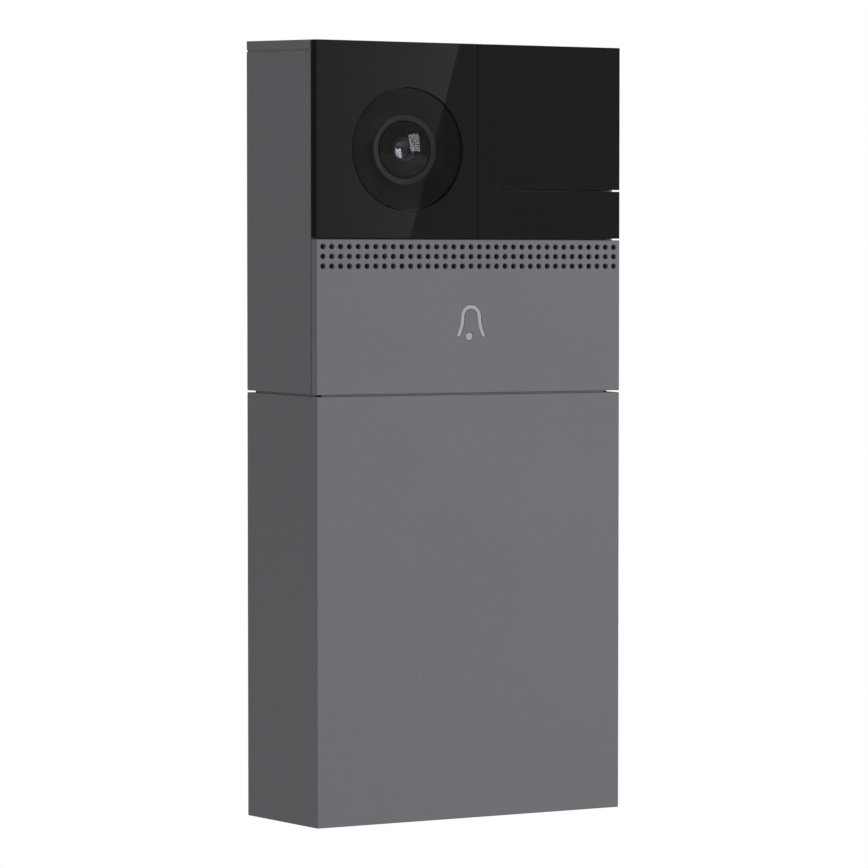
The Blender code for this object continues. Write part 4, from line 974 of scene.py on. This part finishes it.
CORNER_SHADE = 0.66
CARD_EDGE = 0.0004  # softness of the card's edge, as a cosine
CARD_FADE = 0.030
CARD_FOOT, CARD_RISE = 0.25, 3.3  # the card's light at the height of the eye, and its gain upwards
CARD_LEAST, CARD_MOST = 0.15, 0.50
KEY_RADIANCE = 9.0
KEY_SIZE = (0.67, 0.78)
KEY_PLACE = Vector((1.309, -1.454, 0.416))
FLOOR_Z = -0.20


def studio_camera():
    """A long lens at the left, a little above the middle."""
    data = bpy.data.cameras.new("camera")
    data.lens = 159.6
    data.sensor_width = 36.0
    data.clip_start = 0.01
    data.clip_end = 50.0
    camera = bpy.data.objects.new("camera", data)
    camera.location = CAMERA_PLACE
    camera.rotation_euler = (math.pi / 2 - CAMERA_DIP, 0.0, -CAMERA_YAW)
    bpy.context.scene.collection.objects.link(camera)
    bpy.context.scene.camera = camera


def studio_world():
    """A dim room with pale walls, white to the camera, and one large brighter card with a straight edge.

    The edge is the plane through LINE_TOP, LINE_FOOT and the camera's place mirrored in the front glass.
    A direction's distance past that plane sets the card's light: brightest at the edge, then fading.
    """
    mirrored = Vector((CAMERA_PLACE.x, 2 * FRONT_Y - CAMERA_PLACE.y, CAMERA_PLACE.z))
    across = (LINE_TOP - mirrored).cross(LINE_FOOT - mirrored).normalized()
    if across.x > 0:
        across.negate()
    world = bpy.data.worlds.new("studio")
    bpy.context.scene.world = world
    world.use_nodes = True
    tree = world.node_tree
    tree.nodes.clear()

    def math_node(operation, *values):
        node = tree.nodes.new("ShaderNodeMath")
        node.operation = operation
        for socket, value in zip(node.inputs, values):
            if hasattr(value, "is_linked"):
                tree.links.new(value, socket)
            else:
                socket.default_value = value
        return node.outputs["Value"]

    def toward(direction, start, end):
        """From 0 to 1 as the cosine between a ray and direction goes from start to end."""
        dot = tree.nodes.new("ShaderNodeVectorMath")
        dot.operation = "DOT_PRODUCT"
        dot.inputs[1].default_value = direction
        tree.links.new(where, dot.inputs[0])
        step = tree.nodes.new("ShaderNodeMapRange")
        step.interpolation_type = "SMOOTHSTEP"
        step.inputs["From Min"].default_value = start
        step.inputs["From Max"].default_value = end
        tree.links.new(dot.outputs["Value"], step.inputs["Value"])
        return step.outputs["Result"], dot.outputs["Value"]

    where = tree.nodes.new("ShaderNodeTexCoord").outputs["Generated"]
    inside, past = toward(across, 0.0, CARD_EDGE)
    fade = math_node("EXPONENT", math_node("DIVIDE", past, -CARD_FADE))
    height = toward(UP, 0.0, 1.0)[1]
    rise = math_node("MULTIPLY_ADD", height, CARD_RISE, CARD_FOOT)
    level = math_node("MINIMUM", math_node("MAXIMUM", rise, CARD_LEAST), CARD_MOST)
    card = math_node("MULTIPLY", math_node("MULTIPLY", inside, fade), level)
    facing = Vector((math.sin(CAMERA_YAW), -math.cos(CAMERA_YAW), -math.sin(CAMERA_DIP)))
    patch = math_node("MULTIPLY", toward(facing, *PATCH_EDGES)[0], PATCH - ROOM)
    walls = math_node("MAXIMUM", toward(LEFT_WALL, *WALL_EDGES)[0], toward(REAR_WALL, *WALL_EDGES)[0])
    walls = math_node("MAXIMUM", walls, toward(UP, *CEILING_EDGES)[0])
    room = math_node("MULTIPLY_ADD", walls, WALLS, ROOM)
    lit = math_node("ADD", math_node("ADD", card, patch), room)
    shade = math_node("MULTIPLY_ADD", toward(CORNER, *CORNER_EDGES)[0], -CORNER_SHADE, 1.0)
    total = math_node("MULTIPLY", lit, shade)
    seen = tree.nodes.new("ShaderNodeLightPath").outputs["Is Camera Ray"]
    shown = math_node("MAXIMUM", total, seen)
    background = tree.nodes.new("ShaderNodeBackground")
    background.inputs["Color"].default_value = (1.0, 1.0, 1.0, 1.0)
    tree.links.new(shown, background.inputs["Strength"])
    output = tree.nodes.new("ShaderNodeOutputWorld")
    tree.links.new(background.outputs[0], output.inputs["Surface"])


def studio_light():
    """One rectangular lamp at the right, well in front and a little above, facing the object."""
    data = bpy.data.lights.new("key", "AREA")
    data.shape = "RECTANGLE"
    data.size, data.size_y = KEY_SIZE
    data.energy = KEY_RADIANCE * math.pi * KEY_SIZE[0] * KEY_SIZE[1]
    key = bpy.data.objects.new("key", data)
    key.location = KEY_PLACE
    key.rotation_euler = KEY_PLACE.to_track_quat("Z", "Y").to_euler()
    bpy.context.scene.collection.objects.link(key)


def studio_floor():
    """A round pale floor well below the object, white to the camera and open from underneath."""
    mesh = bpy.data.meshes.new("floor")
    ring = circle((0.0, 0.0), 4.0, 96)
    points = np.column_stack([ring, np.full(len(ring), FLOOR_Z)])
    mesh.from_pydata(points.tolist(), [], [list(range(len(ring)))])
    floor = bpy.data.objects.new("floor", mesh)
    bpy.context.scene.collection.objects.link(floor)
    material = bpy.data.materials.new("floor")
    material.use_nodes = True
    tree = material.node_tree
    surface = tree.nodes["Material Output"].inputs["Surface"]
    matt = tree.nodes["Principled BSDF"]
    matt.inputs["Base Color"].default_value = (0.80, 0.80, 0.80, 1.0)
    matt.inputs["Roughness"].default_value = 0.9
    white = tree.nodes.new("ShaderNodeEmission")
    nothing = tree.nodes.new("ShaderNodeBsdfTransparent")
    seen = tree.nodes.new("ShaderNodeLightPath").outputs["Is Camera Ray"]
    under = tree.nodes.new("ShaderNodeNewGeometry").outputs["Backfacing"]
    first, second = tree.nodes.new("ShaderNodeMixShader"), tree.nodes.new("ShaderNodeMixShader")
    for node, factor, low_shader, high_shader in (
        (first, seen, matt, white), (second, under, first, nothing)
    ):
        tree.links.new(factor, node.inputs[0])
        tree.links.new(low_shader.outputs[0], node.inputs[1])
        tree.links.new(high_shader.outputs[0], node.inputs[2])
    tree.links.new(second.outputs[0], surface)
    mesh.materials.append(material)


studio_camera()
studio_world()
studio_light()
studio_floor()
bpy.context.scene.view_settings.view_transform = "Standard"
bpy.context.view_layer.update()
